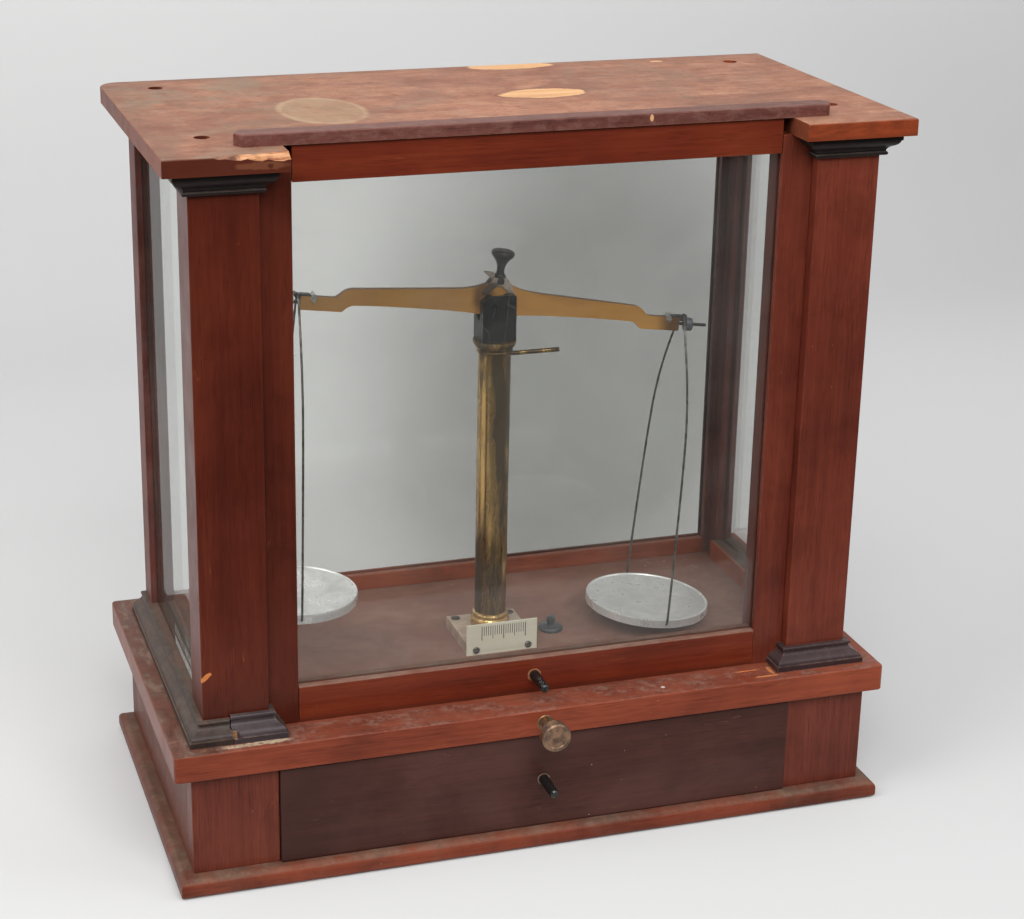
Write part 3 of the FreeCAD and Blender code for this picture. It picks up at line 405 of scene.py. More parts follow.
    # bare patches
    bare = t.m("MAXIMUM", t.spot(0.0335, 0.0165, 0.0262, 0.0132, warp=0.10, soft=0.05, seed=1.0, scale=120),
               t.spot(0.0420, 0.1040, 0.0265, 0.0098, warp=0.14, soft=0.05, seed=4.0, scale=150))
    bare = t.m("MAXIMUM", bare, t.spot(0.137, 0.098, 0.004, 0.002, warp=0.3, soft=0.2, seed=7.0, scale=300))
    bare = t.m("MAXIMUM", bare, t.spot(-0.2150, 0.0960, 0.0022, 0.0050, warp=0.3, soft=0.2, seed=9.0, scale=300))
    bare = t.m("MULTIPLY", bare, t.step(nz, 0.3, 0.7))
    gr = t.noise(260, 5, 0.6, stretch=(0.05, 1, 1), shift=(6, 2, 2))
    barec = t.ramp(gr, [(0.26, (0.56, 0.29, 0.130)), (0.50, (0.66, 0.375, 0.180)), (0.72, (0.74, 0.46, 0.245))])
    col = t.mix(bare, col, barec)
    halo = t.m("MULTIPLY", t.spot(0.0335, 0.0165, 0.0295, 0.0160, warp=0.12, soft=0.10, seed=1.0, scale=120), t.m("SUBTRACT", up, bare, clamp=True))
    col = t.mix(t.m("MULTIPLY", halo, 0.45), col, (0.13, 0.048, 0.030))
    # raw splintered front edge of the left ear, below the board's true faces
    ear = t.m("MULTIPLY", t.step(z, 0.42194, 0.42184), t.step(y, -0.10396, -0.10386))
    ear = t.m("MULTIPLY", ear, t.m("MULTIPLY", t.step(x, -0.1420, -0.1432), t.step(y, -0.0955, -0.0965)))
    ear = t.m("MULTIPLY", ear, t.step(z, 0.4170, 0.4174))
    ear = t.m("MULTIPLY", ear, t.step(t.m("ADD", x, t.m("MULTIPLY", t.noise(260, 4, 0.7, shift=(4, 4, 0)), 0.010)), -0.1690, -0.1655))
    frontw = t.spot(-0.1600, 0.4165, 0.0140, 0.0020, axes=(0, 2), warp=0.34, soft=0.25, seed=3.0, scale=200)
    frontw = t.m("MULTIPLY", frontw, t.step(y, -0.1030, -0.1038))
    earc = t.ramp(t.noise(420, 5, 0.65, stretch=(0.14, 1, 1), shift=(1, 1, 5)), [(0.36, (0.17, 0.048, 0.018)), (0.46, (0.40, 0.165, 0.065)), (0.64, (0.66, 0.36, 0.19))])
    col = t.mix(t.m("MULTIPLY", frontw, 0.30), col, (0.30, 0.115, 0.055))
    knot = t.spot(-0.1560, 0.4160, 0.0015, 0.0011, axes=(0, 2), warp=0.3, soft=0.2, seed=5.0, scale=300)
    col = t.mix(t.m("MULTIPLY", t.m("MULTIPLY", knot, t.step(y, -0.1030, -0.1038)), 0.9), col, (0.060, 0.016, 0.008))
    col = t.mix(ear, col, earc)
    m = t.m("MAXIMUM", bare, ear)
    lost = t.m("MAXIMUM", m, t.m("MULTIPLY", worn, 0.8))
    r = t.mixf(lost, r, 0.66)
    return col, r, t.m("MULTIPLY", coat, t.m("SUBTRACT", 1.0, lost))


def deck_marks(t, col, r, coat):
    """The deck: reddish dusty floor inside the glass with pale crumbs, bare scratches beside
    the right column's foot, old glue in front of the broken moulding, white specks."""
    x, y, z = t.xyz()
    nx, ny, nz = t.normal()
    up = t.step(nz, 0.5, 0.9)
    ax = t.m("ABSOLUTE", x)
    inside = t.m("MULTIPLY", t.m("MULTIPLY", t.step(ax, 0.1835, 0.1825), t.step(y, -0.0670, -0.0660)), up)
    n1 = t.noise(30, 6, 0.66, 0.4, shift=(3, 2, 1))
    n2 = t.noise(520, 4, 0.7, 0.2, stretch=(0.25, 1, 1), shift=(1, 2, 1))
    fl = t.ramp(t.m("ADD", t.m("MULTIPLY", n1, 0.7), t.m("MULTIPLY", n2, 0.3)), [(0.34, (0.205, 0.100, 0.074)), (0.50, (0.275, 0.140, 0.105)), (0.66, (0.335, 0.195, 0.155))])
    back = t.step(y, 0.02, 0.085)
    fl = t.mix(t.m("MULTIPLY", back, 0.35), fl, (0.175, 0.062, 0.035))
    col = t.mix(inside, col, fl)
    crumbs = t.voronoi(210, shift=(0.2, 0.5, 0.1))
    near = t.spot(0.150, 0.062, 0.040, 0.030, warp=0.3, soft=0.5, seed=2.2, scale=30)
    cm = t.m("MULTIPLY", t.step(crumbs, 0.16, 0.09), t.step(t.noise(95, 2, 0.5, shift=(1, 1, 9)), 0.62, 0.57))
    cm = t.m("MULTIPLY", cm, t.m("MULTIPLY", inside, t.m("ADD", t.m("MULTIPLY", near, 0.8), t.m("MULTIPLY", t.step(t.noise(20, 2, 0.5, shift=(9, 1, 9)), 0.58, 0.66), 0.35))))
    col = t.mix(cm, col, (0.60, 0.52, 0.40))
    dk = t.m("MULTIPLY", t.m("MULTIPLY", t.step(t.voronoi(150, shift=(0.7, 0.1, 0.3)), 0.10, 0.05), t.step(t.noise(40, 2, 0.5, shift=(6, 1, 2)), 0.56, 0.62)), inside)
    col = t.mix(t.m("MULTIPLY", dk, 0.8), col, (0.035, 0.022, 0.016))
    # bare scratches by the right column
    s = t.spot(0.143, -0.1010, 0.0075, 0.0009, warp=0.35, soft=0.2, seed=5.0, scale=260)
    s = t.m("MAXIMUM", s, t.spot(0.1475, -0.0945, 0.0014, 0.0050, warp=0.35, soft=0.2, seed=6.0, scale=260))
    s = t.m("MAXIMUM", s, t.spot(0.1330, -0.0915, 0.0080, 0.0006, warp=0.4, soft=0.2, seed=8.0, scale=260))
    s = t.m("MULTIPLY", s, up)
    col = t.mix(s, col, (0.60, 0.20, 0.055))
    # glue and dirt in front of the broken strip
    g = t.m("MAXIMUM", t.spot(-0.1760, -0.1020, 0.0240, 0.0019, warp=0.42, soft=0.2, seed=2.0, scale=210),
            t.spot(-0.1600, -0.1012, 0.0110, 0.0026, warp=0.42, soft=0.2, seed=2.4, scale=210))
    g = t.m("MULTIPLY", t.m("MULTIPLY", g, up), t.step(t.noise(330, 4, 0.7, shift=(2, 9, 1)), 0.34, 0.52))
    col = t.mix(t.m("MULTIPLY", g, 0.95), col, t.mix(t.noise(500, 3, 0.6), (0.30, 0.235, 0.155), (0.62, 0.53, 0.38)))
    # white specks on the ledge
    sp = t.spot(0.0766, -0.0980, 0.0013, 0.0012, warp=0.2, soft=0.2, seed=2.0, scale=500)
    v1 = t.voronoi(46, shift=(0.31, 0.12, 0.4))
    spm = t.m("MAXIMUM", t.m("MULTIPLY", sp, up), t.m("MULTIPLY", t.m("MULTIPLY", t.step(v1, 0.040, 0.026), t.step(t.noise(12, 2, 0.5, shift=(2, 6, 1)), 0.54, 0.57)), t.m("SUBTRACT", 1.0, inside)))
    col = t.mix(t.m("MULTIPLY", spm, 0.85), col, (0.66, 0.64, 0.60))
    # left ledge is greyer and dustier
    lf = t.m("MULTIPLY", t.m("MULTIPLY", t.step(x, -0.1850, -0.1900), up), t.lin(t.noise(70, 6, 0.68, shift=(4, 4, 4)), 0.30, 0.66, 0.60, 1.0))
    col = t.mix(lf, col, t.ramp(t.noise(85, 8, 0.74, 0.8, stretch=(1, 0.5, 1), shift=(1, 9, 9)), [(0.36, (0.024, 0.015, 0.012)), (0.46, (0.085, 0.028, 0.018)), (0.54, (0.070, 0.049, 0.038)), (0.68, (0.200, 0.150, 0.112))]))
    # grey dust and rubbed red patches along the front ledge
    fl2 = t.m("MULTIPLY", t.m("MULTIPLY", t.step(y, -0.0850, -0.0870), up), t.step(t.noise(75, 8, 0.75, 0.5, stretch=(0.6, 1, 1), shift=(8, 2, 4)), 0.44, 0.60))
    col = t.mix(t.m("MULTIPLY", fl2, 0.55), col, t.mix(t.step(t.noise(210, 5, 0.7, shift=(2, 4, 4)), 0.42, 0.58), (0.080, 0.022, 0.015), (0.235, 0.150, 0.118)))
    le = t.m("MULTIPLY", t.step(nx, -0.6, -0.85), t.lin(t.noise(60, 6, 0.7, 0.5, stretch=(1, 0.5, 1), shift=(7, 4, 1)), 0.34, 0.62, 0.15, 0.60))
    le = t.m("MULTIPLY", le, t.lin(y, -0.090, 0.080, 0.55, 1.0))
    col = t.mix(le, col, (0.100, 0.060, 0.042))
    keep = t.m("MAXIMUM", inside, s)
    return col, t.mixf(t.m("MAXIMUM", t.m("MULTIPLY", inside, 0.8), s), r, 0.72), t.m("MULTIPLY", coat, t.m("SUBTRACT", 1.0, keep))


def repair_marks(t, col, r, coat):
    """Bare wood where the corner was knocked off the replaced strip."""
    x, y, z = t.xyz()
    m = t.m("MULTIPLY", t.m("MULTIPLY", t.step(x, -0.1772, -0.1780), t.step(z, 0.0946, 0.0942)), t.m("MULTIPLY", t.step(y, -0.0945, -0.0955), t.step(z, 0.0902, 0.0906)))
    col = t.mix(t.m("MULTIPLY", m, t.step(t.m("ADD", x, t.m("MULTIPLY", t.noise(500, 3, 0.6), 0.0016)), -0.17800, -0.17880)), col, (0.36, 0.195, 0.095))
    return col, t.mixf(m, r, 0.7), coat


def left_moulding_marks(t, col, r, coat):
    """Red-brown shows through the black on the side run; the front piece is blacker."""
    x, y, z = t.xyz()
    n = t.noise(70, 7, 0.74, 0.8, stretch=(1, 0.4, 1), shift=(3, 3, 8))
    side = t.step(y, -0.0985, -0.0900)
    col = t.mix(t.m("MULTIPLY", t.m("MULTIPLY", t.step(n, 0.52, 0.62), side), 0.55), col, (0.095, 0.034, 0.024))
    col = t.mix(t.m("MULTIPLY", t.step(y, -0.0985, -0.1000), 0.50), col, (0.018, 0.010, 0.009))
    return col, r, coat


def base_marks(t, col, r, coat):
    """The base board's left edge is darker and dirtier than its front."""
    x, y, z = t.xyz()
    nx, ny, nz = t.normal()
    k = t.m("MAXIMUM", t.step(nx, -0.6, -0.85), t.m("MULTIPLY", t.step(x, -0.2020, -0.2050), t.step(nz, 0.5, 0.9)))
    k = t.m("MULTIPLY", k, t.lin(t.noise(70, 6, 0.7, 0.5, stretch=(1, 0.4, 1), shift=(2, 6, 6)), 0.34, 0.62, 0.35, 0.70))
    return t.mix(k, col, (0.060, 0.020, 0.013)), r, coat


def side_run(t):
    """Dust lies on the side run and much less on the front piece."""
    x, y, z = t.xyz()
    return t.lin(t.step(y, -0.1000, -0.0880), 0.0, 1.0, 0.22, 1.0)


def cap_marks(t, col, r, coat):
    """Fine mottling and one pale nick in the strip's lower front edge."""
    x, y, z = t.xyz()
    n = t.noise(210, 6, 0.75, 0.4, stretch=(0.5, 1, 1), shift=(1, 5, 5))
    col = t.mix(t.m("MULTIPLY", t.step(n, 0.48, 0.62), 0.40), col, (0.205, 0.105, 0.085))
    col = t.mix(t.m("MULTIPLY", t.step(n, 0.44, 0.36), 0.45), col, (0.045, 0.014, 0.012))
    m = t.m("MULTIPLY", t.spot(0.0602, 0.4262, 0.0011, 0.0019, axes=(0, 2), warp=0.16, soft=0.15, seed=4.0, scale=300), t.step(y, -0.0830, -0.0840))
    col = t.mix(t.m("MULTIPLY", m, 0.92), col, (0.66, 0.36, 0.17))
    return col, t.mixf(m, r, 0.65), coat


# ---------------------------------------------------------------------- metals
def metal(name, base, tarnish, amount=0.5, lo=0.18, hi=0.5, grain=None, scale=30, seed=0.0, stretch=(1, 1, 1), edge_col=None,
          contrast=0.12, metallic=1.0, bump=0.10, spots=0.0, spot_col=(0.02, 0.02, 0.02), edge_r=0.0006, extra=None, lines=1.0):
    """Worn metal: tarnish in clouds, brushed lines, handling scratches, darker pits."""
    t = Tree(name)
    sh = (seed, seed * 1.3, seed * 0.7)
    n = t.noise(scale, 6, 0.62, 0.5, stretch=stretch, shift=sh)
    m = t.step(n, 0.5 + contrast - (amount - 0.5) * 0.5, 0.5 - contrast - (amount - 0.5) * 0.5)
    fine = t.noise(900, 3, 0.6, stretch=grain or (1, 1, 1), shift=sh)
    col = t.mix(m, base, tarnish)
    col = t.mix(t.m("MULTIPLY", t.step(fine, 0.45, 0.7), 0.18), col, tuple(min(1, c * 1.35) for c in base))
    r = t.m("ADD", t.mixf(m, lo, hi), t.m("MULTIPLY", t.m("SUBTRACT", fine, 0.5), 0.16))
    met = t.mixf(m, metallic, metallic * 0.55)
    # lighter edges: rubbed wear on most metals; on the pans the white edge colour is a painted highlight along the rim
    if edge_col is not None:
        e = t.m("MULTIPLY", t.step(t.edge(edge_r), 0.02, 0.2), t.step(t.noise(160, 3, 0.6, shift=(seed, 4, 4)), 0.35, 0.6))
        col = t.mix(e, col, edge_col)
        r = t.mixf(e, r, lo)
    if spots > 0:
        v = t.voronoi(260, shift=(seed + 0.2, 0.4, 0.8))
        sm = t.m("MULTIPLY", t.step(v, 0.16, 0.08), t.step(t.noise(60, 2, 0.5, shift=(seed, 7, 3)), 0.50, 0.62))
        col = t.mix(t.m("MULTIPLY", sm, spots), col, spot_col)
        r = t.mixf(t.m("MULTIPLY", sm, spots), r, 0.7)
    if extra is not None:
        col = extra(t, col)
    scr = t.voronoi(130, stretch=(1, 0.2, 0.4), shift=(seed + 0.6, 0.2, 0.1), feature="DISTANCE_TO_EDGE")
    sm2 = t.m("MULTIPLY", t.step(scr, 0.02, 0.006), t.step(t.noise(50, 2, 0.5, shift=(seed, 2, 8)), 0.54, 0.62))
    sm2 = t.m("MULTIPLY", sm2, lines)
    r = t.m("ADD", r, t.m("MULTIPLY", sm2, 0.12))
    h = t.m("ADD", t.m("MULTIPLY", fine, 0.6), t.m("MULTIPLY", sm2, -0.8))
    t.principled(Base_Color=col, Metallic=met, Roughness=r, Normal=t.bump(h, bump, 0.00006))
    return t.mat


MAT = {}


def build_materials():
    M = MAT
    brown = (0.34, 0.13, 0.05)
    M["mahogany_base"] = wood("mahogany_base", (0.075, 0.0150, 0.0085), (0.165, 0.0340, 0.0170), (0.260, 0.060, 0.0280), "x", 1.1, dust=0.85, wear=1.0,
                              wear_col=(0.46, 0.15, 0.045), dust_col=(0.165, 0.115, 0.085), rough=0.42, grime=0.5, scuff=0.8, dust_side=0.18, extra=base_marks)
    M["mahogany_plinth"] = wood("mahogany_plinth", (0.065, 0.0150, 0.0095), (0.125, 0.0280, 0.0175), (0.190, 0.046, 0.0270), "z", 2.3, wear=0.5, grime=0.25, scuff=0.5)
    M["plinth_side"] = wood("plinth_side", (0.060, 0.018, 0.011), (0.118, 0.036, 0.022), (0.180, 0.060, 0.036), "y", 2.9, wear=0.6, rough=0.46, grime=0.35, scuff=0.6, spec=0.18)
    M["plinth_rear"] = wood("plinth_rear", (0.055, 0.016, 0.010), (0.112, 0.033, 0.020), (0.170, 0.056, 0.033), "x", 2.6, wear=0.6, rough=0.48, grime=0.35, scuff=0.6, spec=0.18)
    M["head_wood"] = wood("head_wood", (0.050, 0.017, 0.013), (0.115, 0.036, 0.026), (0.190, 0.066, 0.045), "x", 7.1, rough=0.48, dust=0.3, wear=0.4, grime=0.35)
    M["drawer_wood"] = wood("drawer_wood", (0.032, 0.012, 0.010), (0.056, 0.020, 0.016), (0.086, 0.031, 0.024), "x", 3.7, wear=0.6, rough=0.40, scuff=0.9, grime=0.3,
                            extra=drawer_marks, wear_col=(0.20, 0.085, 0.05))
    M["mahogany_deck"] = wood("mahogany_deck", (0.085, 0.0165, 0.0095), (0.205, 0.0420, 0.0200), (0.310, 0.070, 0.0320), "x", 4.9, dust=0.28, wear=1.0,
                              dust_col=(0.235, 0.128, 0.098), extra=deck_marks, scuff=0.9, wear_col=brown)
    M["column_l"] = wood("column_l", (0.050, 0.0088, 0.0048), (0.088, 0.0150, 0.0078), (0.135, 0.027, 0.0130), "z", 5.3, rough=0.34, wear=0.45, extra=column_marks, grime=0.2)
    M["column_r"] = wood("column_r", (0.070, 0.0150, 0.0092), (0.132, 0.0260, 0.0155), (0.200, 0.044, 0.0240), "z", 5.9, rough=0.34, wear=0.55, grime=0.3)
    M["stile_l"] = wood("stile_l", (0.045, 0.0088, 0.0048), (0.078, 0.0140, 0.0075), (0.120, 0.024, 0.0125), "z", 6.1, rough=0.36, wear=0.4, grime=0.3)
    M["stile_r"] = wood("stile_r", (0.068, 0.0140, 0.0085), (0.122, 0.0245, 0.0145), (0.185, 0.040, 0.0220), "z", 6.6, rough=0.36, wear=0.5, grime=0.3)
    M["mahogany_post"] = wood("mahogany_post", (0.050, 0.018, 0.015), (0.125, 0.040, 0.031), (0.215, 0.080, 0.058), "z", 7.7, rough=0.5, dust=0.35, wear=0.4,
                              dust_side=0.35, dust_col=(0.150, 0.105, 0.110), figure=1.3, grime=0.4)
    def sill_marks(t, col, r, coat):
        x, y, z = t.xyz()
        k = t.m("MULTIPLY", t.step(t.m("ABSOLUTE", x), 0.1830, 0.1845), t.lin(t.noise(60, 6, 0.7, shift=(4, 8, 4)), 0.3, 0.6, 0.75, 1.0))
        return t.mix(k, col, t.mix(t.noise(120, 5, 0.7, shift=(2, 8, 1)), (0.040, 0.022, 0.017), (0.120, 0.084, 0.068))), t.mixf(k, r, 0.7), t.m("MULTIPLY", coat, t.m("SUBTRACT", 1.0, k))
    M["sill_wood"] = wood("sill_wood", (0.130, 0.030, 0.0130), (0.290, 0.064, 0.0230), (0.400, 0.105, 0.0400), "x", 8.2, dust=0.45, wear=0.4, extra=sill_marks,
                          dust_col=(0.145, 0.120, 0.100), rough=0.5, grime=0.3)
    M["moulding_wood"] = wood("moulding_wood", (0.018, 0.010, 0.010), (0.038, 0.022, 0.023), (0.068, 0.040, 0.041), "y", 9.4, dust=0.22, wear=0.6, rough=0.32,
                              wear_col=(0.22, 0.14, 0.10), dust_col=(0.155, 0.118, 0.110), dust_side=0.03, spec=0.30, tint=(1.0, 0.92, 0.95))
    M["moulding_left"] = wood("moulding_left", (0.020, 0.014, 0.012), (0.044, 0.031, 0.026), (0.080, 0.058, 0.047), "y", 9.9, dust=0.62, wear=0.6, rough=0.42,
                              wear_col=(0.20, 0.13, 0.09), dust_col=(0.145, 0.108, 0.088), dust_side=0.22, spec=0.24, extra=left_moulding_marks, dust_where=side_run, tint=(1.0, 0.92, 0.95))
    M["moulding_repair"] = wood("moulding_repair", (0.018, 0.013, 0.014), (0.038, 0.028, 0.031), (0.070, 0.052, 0.056), "x", 9.7, dust=0.30, wear=0.7, rough=0.34,
                                wear_col=(0.24, 0.16, 0.13), dust_col=(0.170, 0.135, 0.125), extra=repair_marks, dust_side=0.06, tint=(1.0, 0.92, 0.98))
    M["ebonised_wood"] = wood("ebonised_wood", (0.007, 0.006, 0.006), (0.013, 0.011, 0.011), (0.026, 0.021, 0.020), "x", 10.1, dust=0.3, wear=0.4, rough=0.46,
                              wear_col=(0.12, 0.075, 0.06), spec=0.22)
    M["mahogany_top"] = wood("mahogany_top", (0.070, 0.016, 0.009), (0.150, 0.038, 0.019), (0.235, 0.068, 0.032), "x", 11.6, dust=0.20, wear=0.28, rough=0.46,
                             dust_col=(0.36, 0.25, 0.19), extra=top_marks, wear_col=(0.36, 0.12, 0.045), scuff=0.8, spec=0.26)
    M["mahogany_sash"] = wood("mahogany_sash", (0.075, 0.012, 0.006), (0.135, 0.021, 0.009), (0.205, 0.042, 0.016), "x", 12.2, rough=0.34, wear=0.7, dust=0.55,
                              wear_col=(0.44, 0.15, 0.05), dust_col=(0.24, 0.13, 0.09), extra=sash_marks, figure=1.2)
    M["cap_wood"] = wood("cap_wood", (0.060, 0.019, 0.016), (0.112, 0.038, 0.031), (0.170, 0.064, 0.051), "x", 13.5, rough=0.42, wear=0.5, dust=0.45, extra=cap_marks,
                         dust_col=(0.25, 0.150, 0.125), wear_col=(0.34, 0.17, 0.10))
    M["secondary_wood"] = wood("secondary_wood", (0.16, 0.08, 0.04), (0.30, 0.165, 0.085), (0.42, 0.25, 0.14), "y", 14.3, rough=0.62, wear=0.2, coat=0.0)
    M["tarnished_brass"] = pillar_brass()
    M["polished_brass"] = metal("polished_brass", (0.86, 0.60, 0.26), (0.42, 0.25, 0.08), 0.40, 0.10, 0.32, seed=1.0, scale=120)
    M["aged_brass_knob"] = metal("aged_brass_knob", (0.30, 0.180, 0.112), (0.085, 0.050, 0.036), 0.54, 0.34, 0.60, seed=2.0, scale=170, edge_col=(0.50, 0.36, 0.20),
                                 metallic=0.9)
    M["beam_brass"] = beam_brass()
    def left_leg(t, col):
        """Painted shade darkens the lower part of the saddle's left leg."""
        k = t.step(t.m("ADD", t.xyz()[0], t.m("MULTIPLY", t.noise(260, 4, 0.7, shift=(2, 2, 5)), 0.003)), 0.0032, 0.0002)
        k = t.m("MULTIPLY", k, t.step(t.xyz()[2], 0.3175, 0.3150))
        return t.mix(t.m("MULTIPLY", k, 0.86), col, (0.060, 0.040, 0.028))
    M["saddle_metal"] = metal("saddle_metal", (0.54, 0.47, 0.39), (0.27, 0.23, 0.19), 0.42, 0.36, 0.58, seed=4.0, scale=110, metallic=0.5, extra=left_leg)
    M["grey_metal"] = metal("grey_metal", (0.13, 0.14, 0.155), (0.055, 0.060, 0.066), 0.5, 0.36, 0.60, seed=5.0, scale=130, metallic=0.7, edge_col=(0.40, 0.41, 0.42))
    M["bright_steel"] = metal("bright_steel", (0.72, 0.72, 0.69), (0.34, 0.34, 0.32), 0.35, 0.22, 0.42, seed=6.0, scale=300)
    M["dark_steel"] = metal("dark_steel", (0.115, 0.115, 0.110), (0.038, 0.036, 0.032), 0.52, 0.34, 0.62, seed=7.0, scale=260, metallic=0.85, edge_col=(0.24, 0.24, 0.23))
    M["wire_steel"] = metal("wire_steel", (0.19, 0.18, 0.165), (0.050, 0.047, 0.040), 0.55, 0.36, 0.62, seed=7.7, scale=150, metallic=0.85)
    M["steel"] = metal("steel", (0.50, 0.50, 0.50), (0.25, 0.25, 0.25), 0.4, 0.26, 0.42, seed=8.0, scale=140)
    M["steel_screw"] = metal("steel_screw", (0.11, 0.095, 0.08), (0.035, 0.028, 0.022), 0.55, 0.40, 0.66, seed=9.0, scale=420, metallic=0.8, edge_col=(0.33, 0.30, 0.26))
    # the white edge colour here is a painted highlight along the pan rims
    M["aluminium_pan"] = metal("aluminium_pan", (0.92, 0.92, 0.915), (0.66, 0.66, 0.65), 0.44, 0.24, 0.42, seed=10.0, scale=75, grain=(1, 0.2, 1), contrast=0.20, edge_col=(1.0, 1.0, 0.99), edge_r=0.0018,
                               bump=0.12, metallic=0.60, lines=0.0)
    M["brown_brass"] = metal("brown_brass", (0.24, 0.135, 0.070), (0.080, 0.046, 0.028), 0.55, 0.30, 0.56, seed=2.4, scale=210, metallic=0.85, edge_col=(0.55, 0.33, 0.15))
    M["plate_metal"] = metal("plate_metal", (0.60, 0.465, 0.365), (0.40, 0.300, 0.230), 0.46, 0.40, 0.60, seed=4.6, scale=90, metallic=0.25, contrast=0.2, edge_col=(0.78, 0.66, 0.52))
    M["blue_steel"] = metal("blue_steel", (0.25, 0.27, 0.30), (0.105, 0.115, 0.130), 0.45, 0.26, 0.50, seed=5.5, scale=240, metallic=0.8, edge_col=(0.62, 0.64, 0.67))
    M["black_block"] = block_black()
    M["black_knob"] = metal("black_knob", (0.035, 0.035, 0.036), (0.012, 0.012, 0.012), 0.5, 0.34, 0.52, seed=12.0, scale=240, metallic=0.25, edge_col=(0.13, 0.13, 0.125))
    M["ebony_peg"] = metal("ebony_peg", (0.010, 0.010, 0.010), (0.005, 0.005, 0.005), 0.5, 0.18, 0.36, seed=13.0, scale=240, metallic=0.0, edge_col=(0.035, 0.03, 0.03))
    M["ivory"] = ivory()
    M["ink"] = flat_ink()
    M["agate"] = metal("agate", (0.32, 0.22, 0.17), (0.18, 0.10, 0.07), 0.5, 0.10, 0.22, seed=15.0, scale=500, metallic=0.0)
    M["clear_glass"] = glass()
    M["old_glass"] = glass("old_glass", 0.95)


def pillar_brass():
    """Drawn brass tube: lacquer gone in long streaks, brown-black where it has tarnished."""
    t = Tree("tarnished_brass")
    n = t.noise(55, 6, 0.62, 0.4, stretch=(1, 1, 0.10), shift=(1.3, 0.2, 0))
    n2 = t.noise(160, 5, 0.6, 0.2, stretch=(1, 1, 0.30), shift=(4, 2, 0))
    v = t.m("ADD", n, t.m("MULTIPLY", t.m("SUBTRACT", n2, 0.5), 0.45))
    m = t.step(v, 0.38, 0.56)
    x, y, z = t.xyz()
    low = t.step(z, 0.215, 0.125)
    m = t.m("MAXIMUM", m, t.m("MULTIPLY", low, t.step(v, 0.34, 0.52)))
    brass = t.ramp(t.noise(30, 4, 0.5, shift=(2, 2, 2)), [(0.3, (0.40, 0.235, 0.072)), (0.7, (0.58, 0.370, 0.130))])
    col = t.mix(t.m("MULTIPLY", m, 0.92), brass, (0.066, 0.047, 0.028))
    r = t.mixf(m, 0.20, 0.42)
    fine = t.noise(1400, 2, 0.5, stretch=(1, 1, 0.05), shift=(0, 0, 1))
    r = t.m("ADD", r, t.m("MULTIPLY", t.m("SUBTRACT", fine, 0.5), 0.10))
    t.principled(Base_Color=col, Metallic=t.mixf(m, 1.0, 0.75), Roughness=r, Normal=t.bump(fine, 0.10, 0.00004))
    return t.mat


def beam_brass():
    """Lacquered brass beam: satin, golden-brown, long draw lines, dusty dark upper edge."""
    t = Tree("beam_brass")
    n = t.noise(36, 5, 0.6, 0.3, stretch=(0.25, 1, 1), shift=(2.2, 0, 0))
    fine = t.noise(1100, 3, 0.6, stretch=(0.03, 1, 1), shift=(0, 0, 2))
    base = t.ramp(n, [(0.30, (0.50, 0.232, 0.052)), (0.52, (0.68, 0.335, 0.080)), (0.72, (0.80, 0.43, 0.120))])
    nx, ny, nz = t.normal()
    x, y, z = t.xyz()
    up = t.step(t.m("ABSOLUTE", nz), 0.5, 0.85)
    col = t.mix(t.m("MULTIPLY", up, 0.70), base, (0.105, 0.082, 0.065))
    sp = t.step(t.noise(210, 4, 0.6, shift=(5, 1, 1)), 0.60, 0.74)
    col = t.mix(t.m("MULTIPLY", sp, 0.35), col, (0.20, 0.105, 0.04))
    col = t.mix(t.m("MULTIPLY", t.step(x, 0.01, -0.03), 0.32), col, (0.22, 0.135, 0.060))
    # painted shadow: a dark-brown patch on the beam just left of the saddle
    painted_saddle_shadow = t.spot(-0.0085, 0.3090, 0.0062, 0.0085, axes=(0, 2), warp=0.22, soft=0.45, seed=6.0, scale=140)
    col = t.mix(t.m("MULTIPLY", painted_saddle_shadow, 0.72), col, (0.075, 0.036, 0.018))
    right = t.step(t.m("ADD", x, t.m("MULTIPLY", t.m("SUBTRACT", sp, 0.5), 0.003)), 0.099, 0.110)
    col = t.mix(t.m("MULTIPLY", right, 0.82), col, (0.085, 0.045, 0.024))
    r = t.m("ADD", 0.36, t.m("MULTIPLY", t.m("SUBTRACT", fine, 0.5), 0.18))
    r = t.mixf(up, r, 0.55)
    t.principled(Base_Color=col, Metallic=0.42, Roughness=r, Normal=t.bump(fine, 0.14, 0.00005), Coat_Weight=0.12, Coat_Roughness=0.3)
    return t.mat


def block_black():
    """Black japanned block, rubbed grey on its corners and scratched across its face."""
    t = Tree("black_block")
    n = t.noise(140, 5, 0.6, 0.4, shift=(3, 1, 2))
    col = t.ramp(n, [(0.3, (0.006, 0.006, 0.007)), (0.7, (0.020, 0.020, 0.022))])
    e = t.m("MULTIPLY", t.step(t.edge(0.0007), 0.02, 0.22), t.step(t.noise(260, 4, 0.65, shift=(1, 1, 1)), 0.36, 0.58))
    col = t.mix(t.m("MULTIPLY", e, 0.7), col, (0.13, 0.13, 0.14))
    scr = t.voronoi(95, stretch=(1, 1, 0.5), shift=(0.1, 0.3, 0.2), feature="DISTANCE_TO_EDGE")
    sm = t.m("MULTIPLY", t.step(scr, 0.03, 0.008), t.step(t.noise(120, 3, 0.6, shift=(2, 2, 0)), 0.46, 0.58))
    col = t.mix(t.m("MULTIPLY", sm, 0.40), col, (0.14, 0.14, 0.145))
    r = t.m("ADD", t.mixf(e, 0.30, 0.42), t.m("MULTIPLY", t.m("SUBTRACT", n, 0.5), 0.25))
    h = t.m("ADD", n, t.m("MULTIPLY", sm, -0.6))
    t.principled(Base_Color=col, Roughness=r, Normal=t.bump(h, 0.30, 0.00015), Coat_Weight=0.05, Coat_Roughness=0.25, Specular_IOR_Level=0.16)
    return t.mat


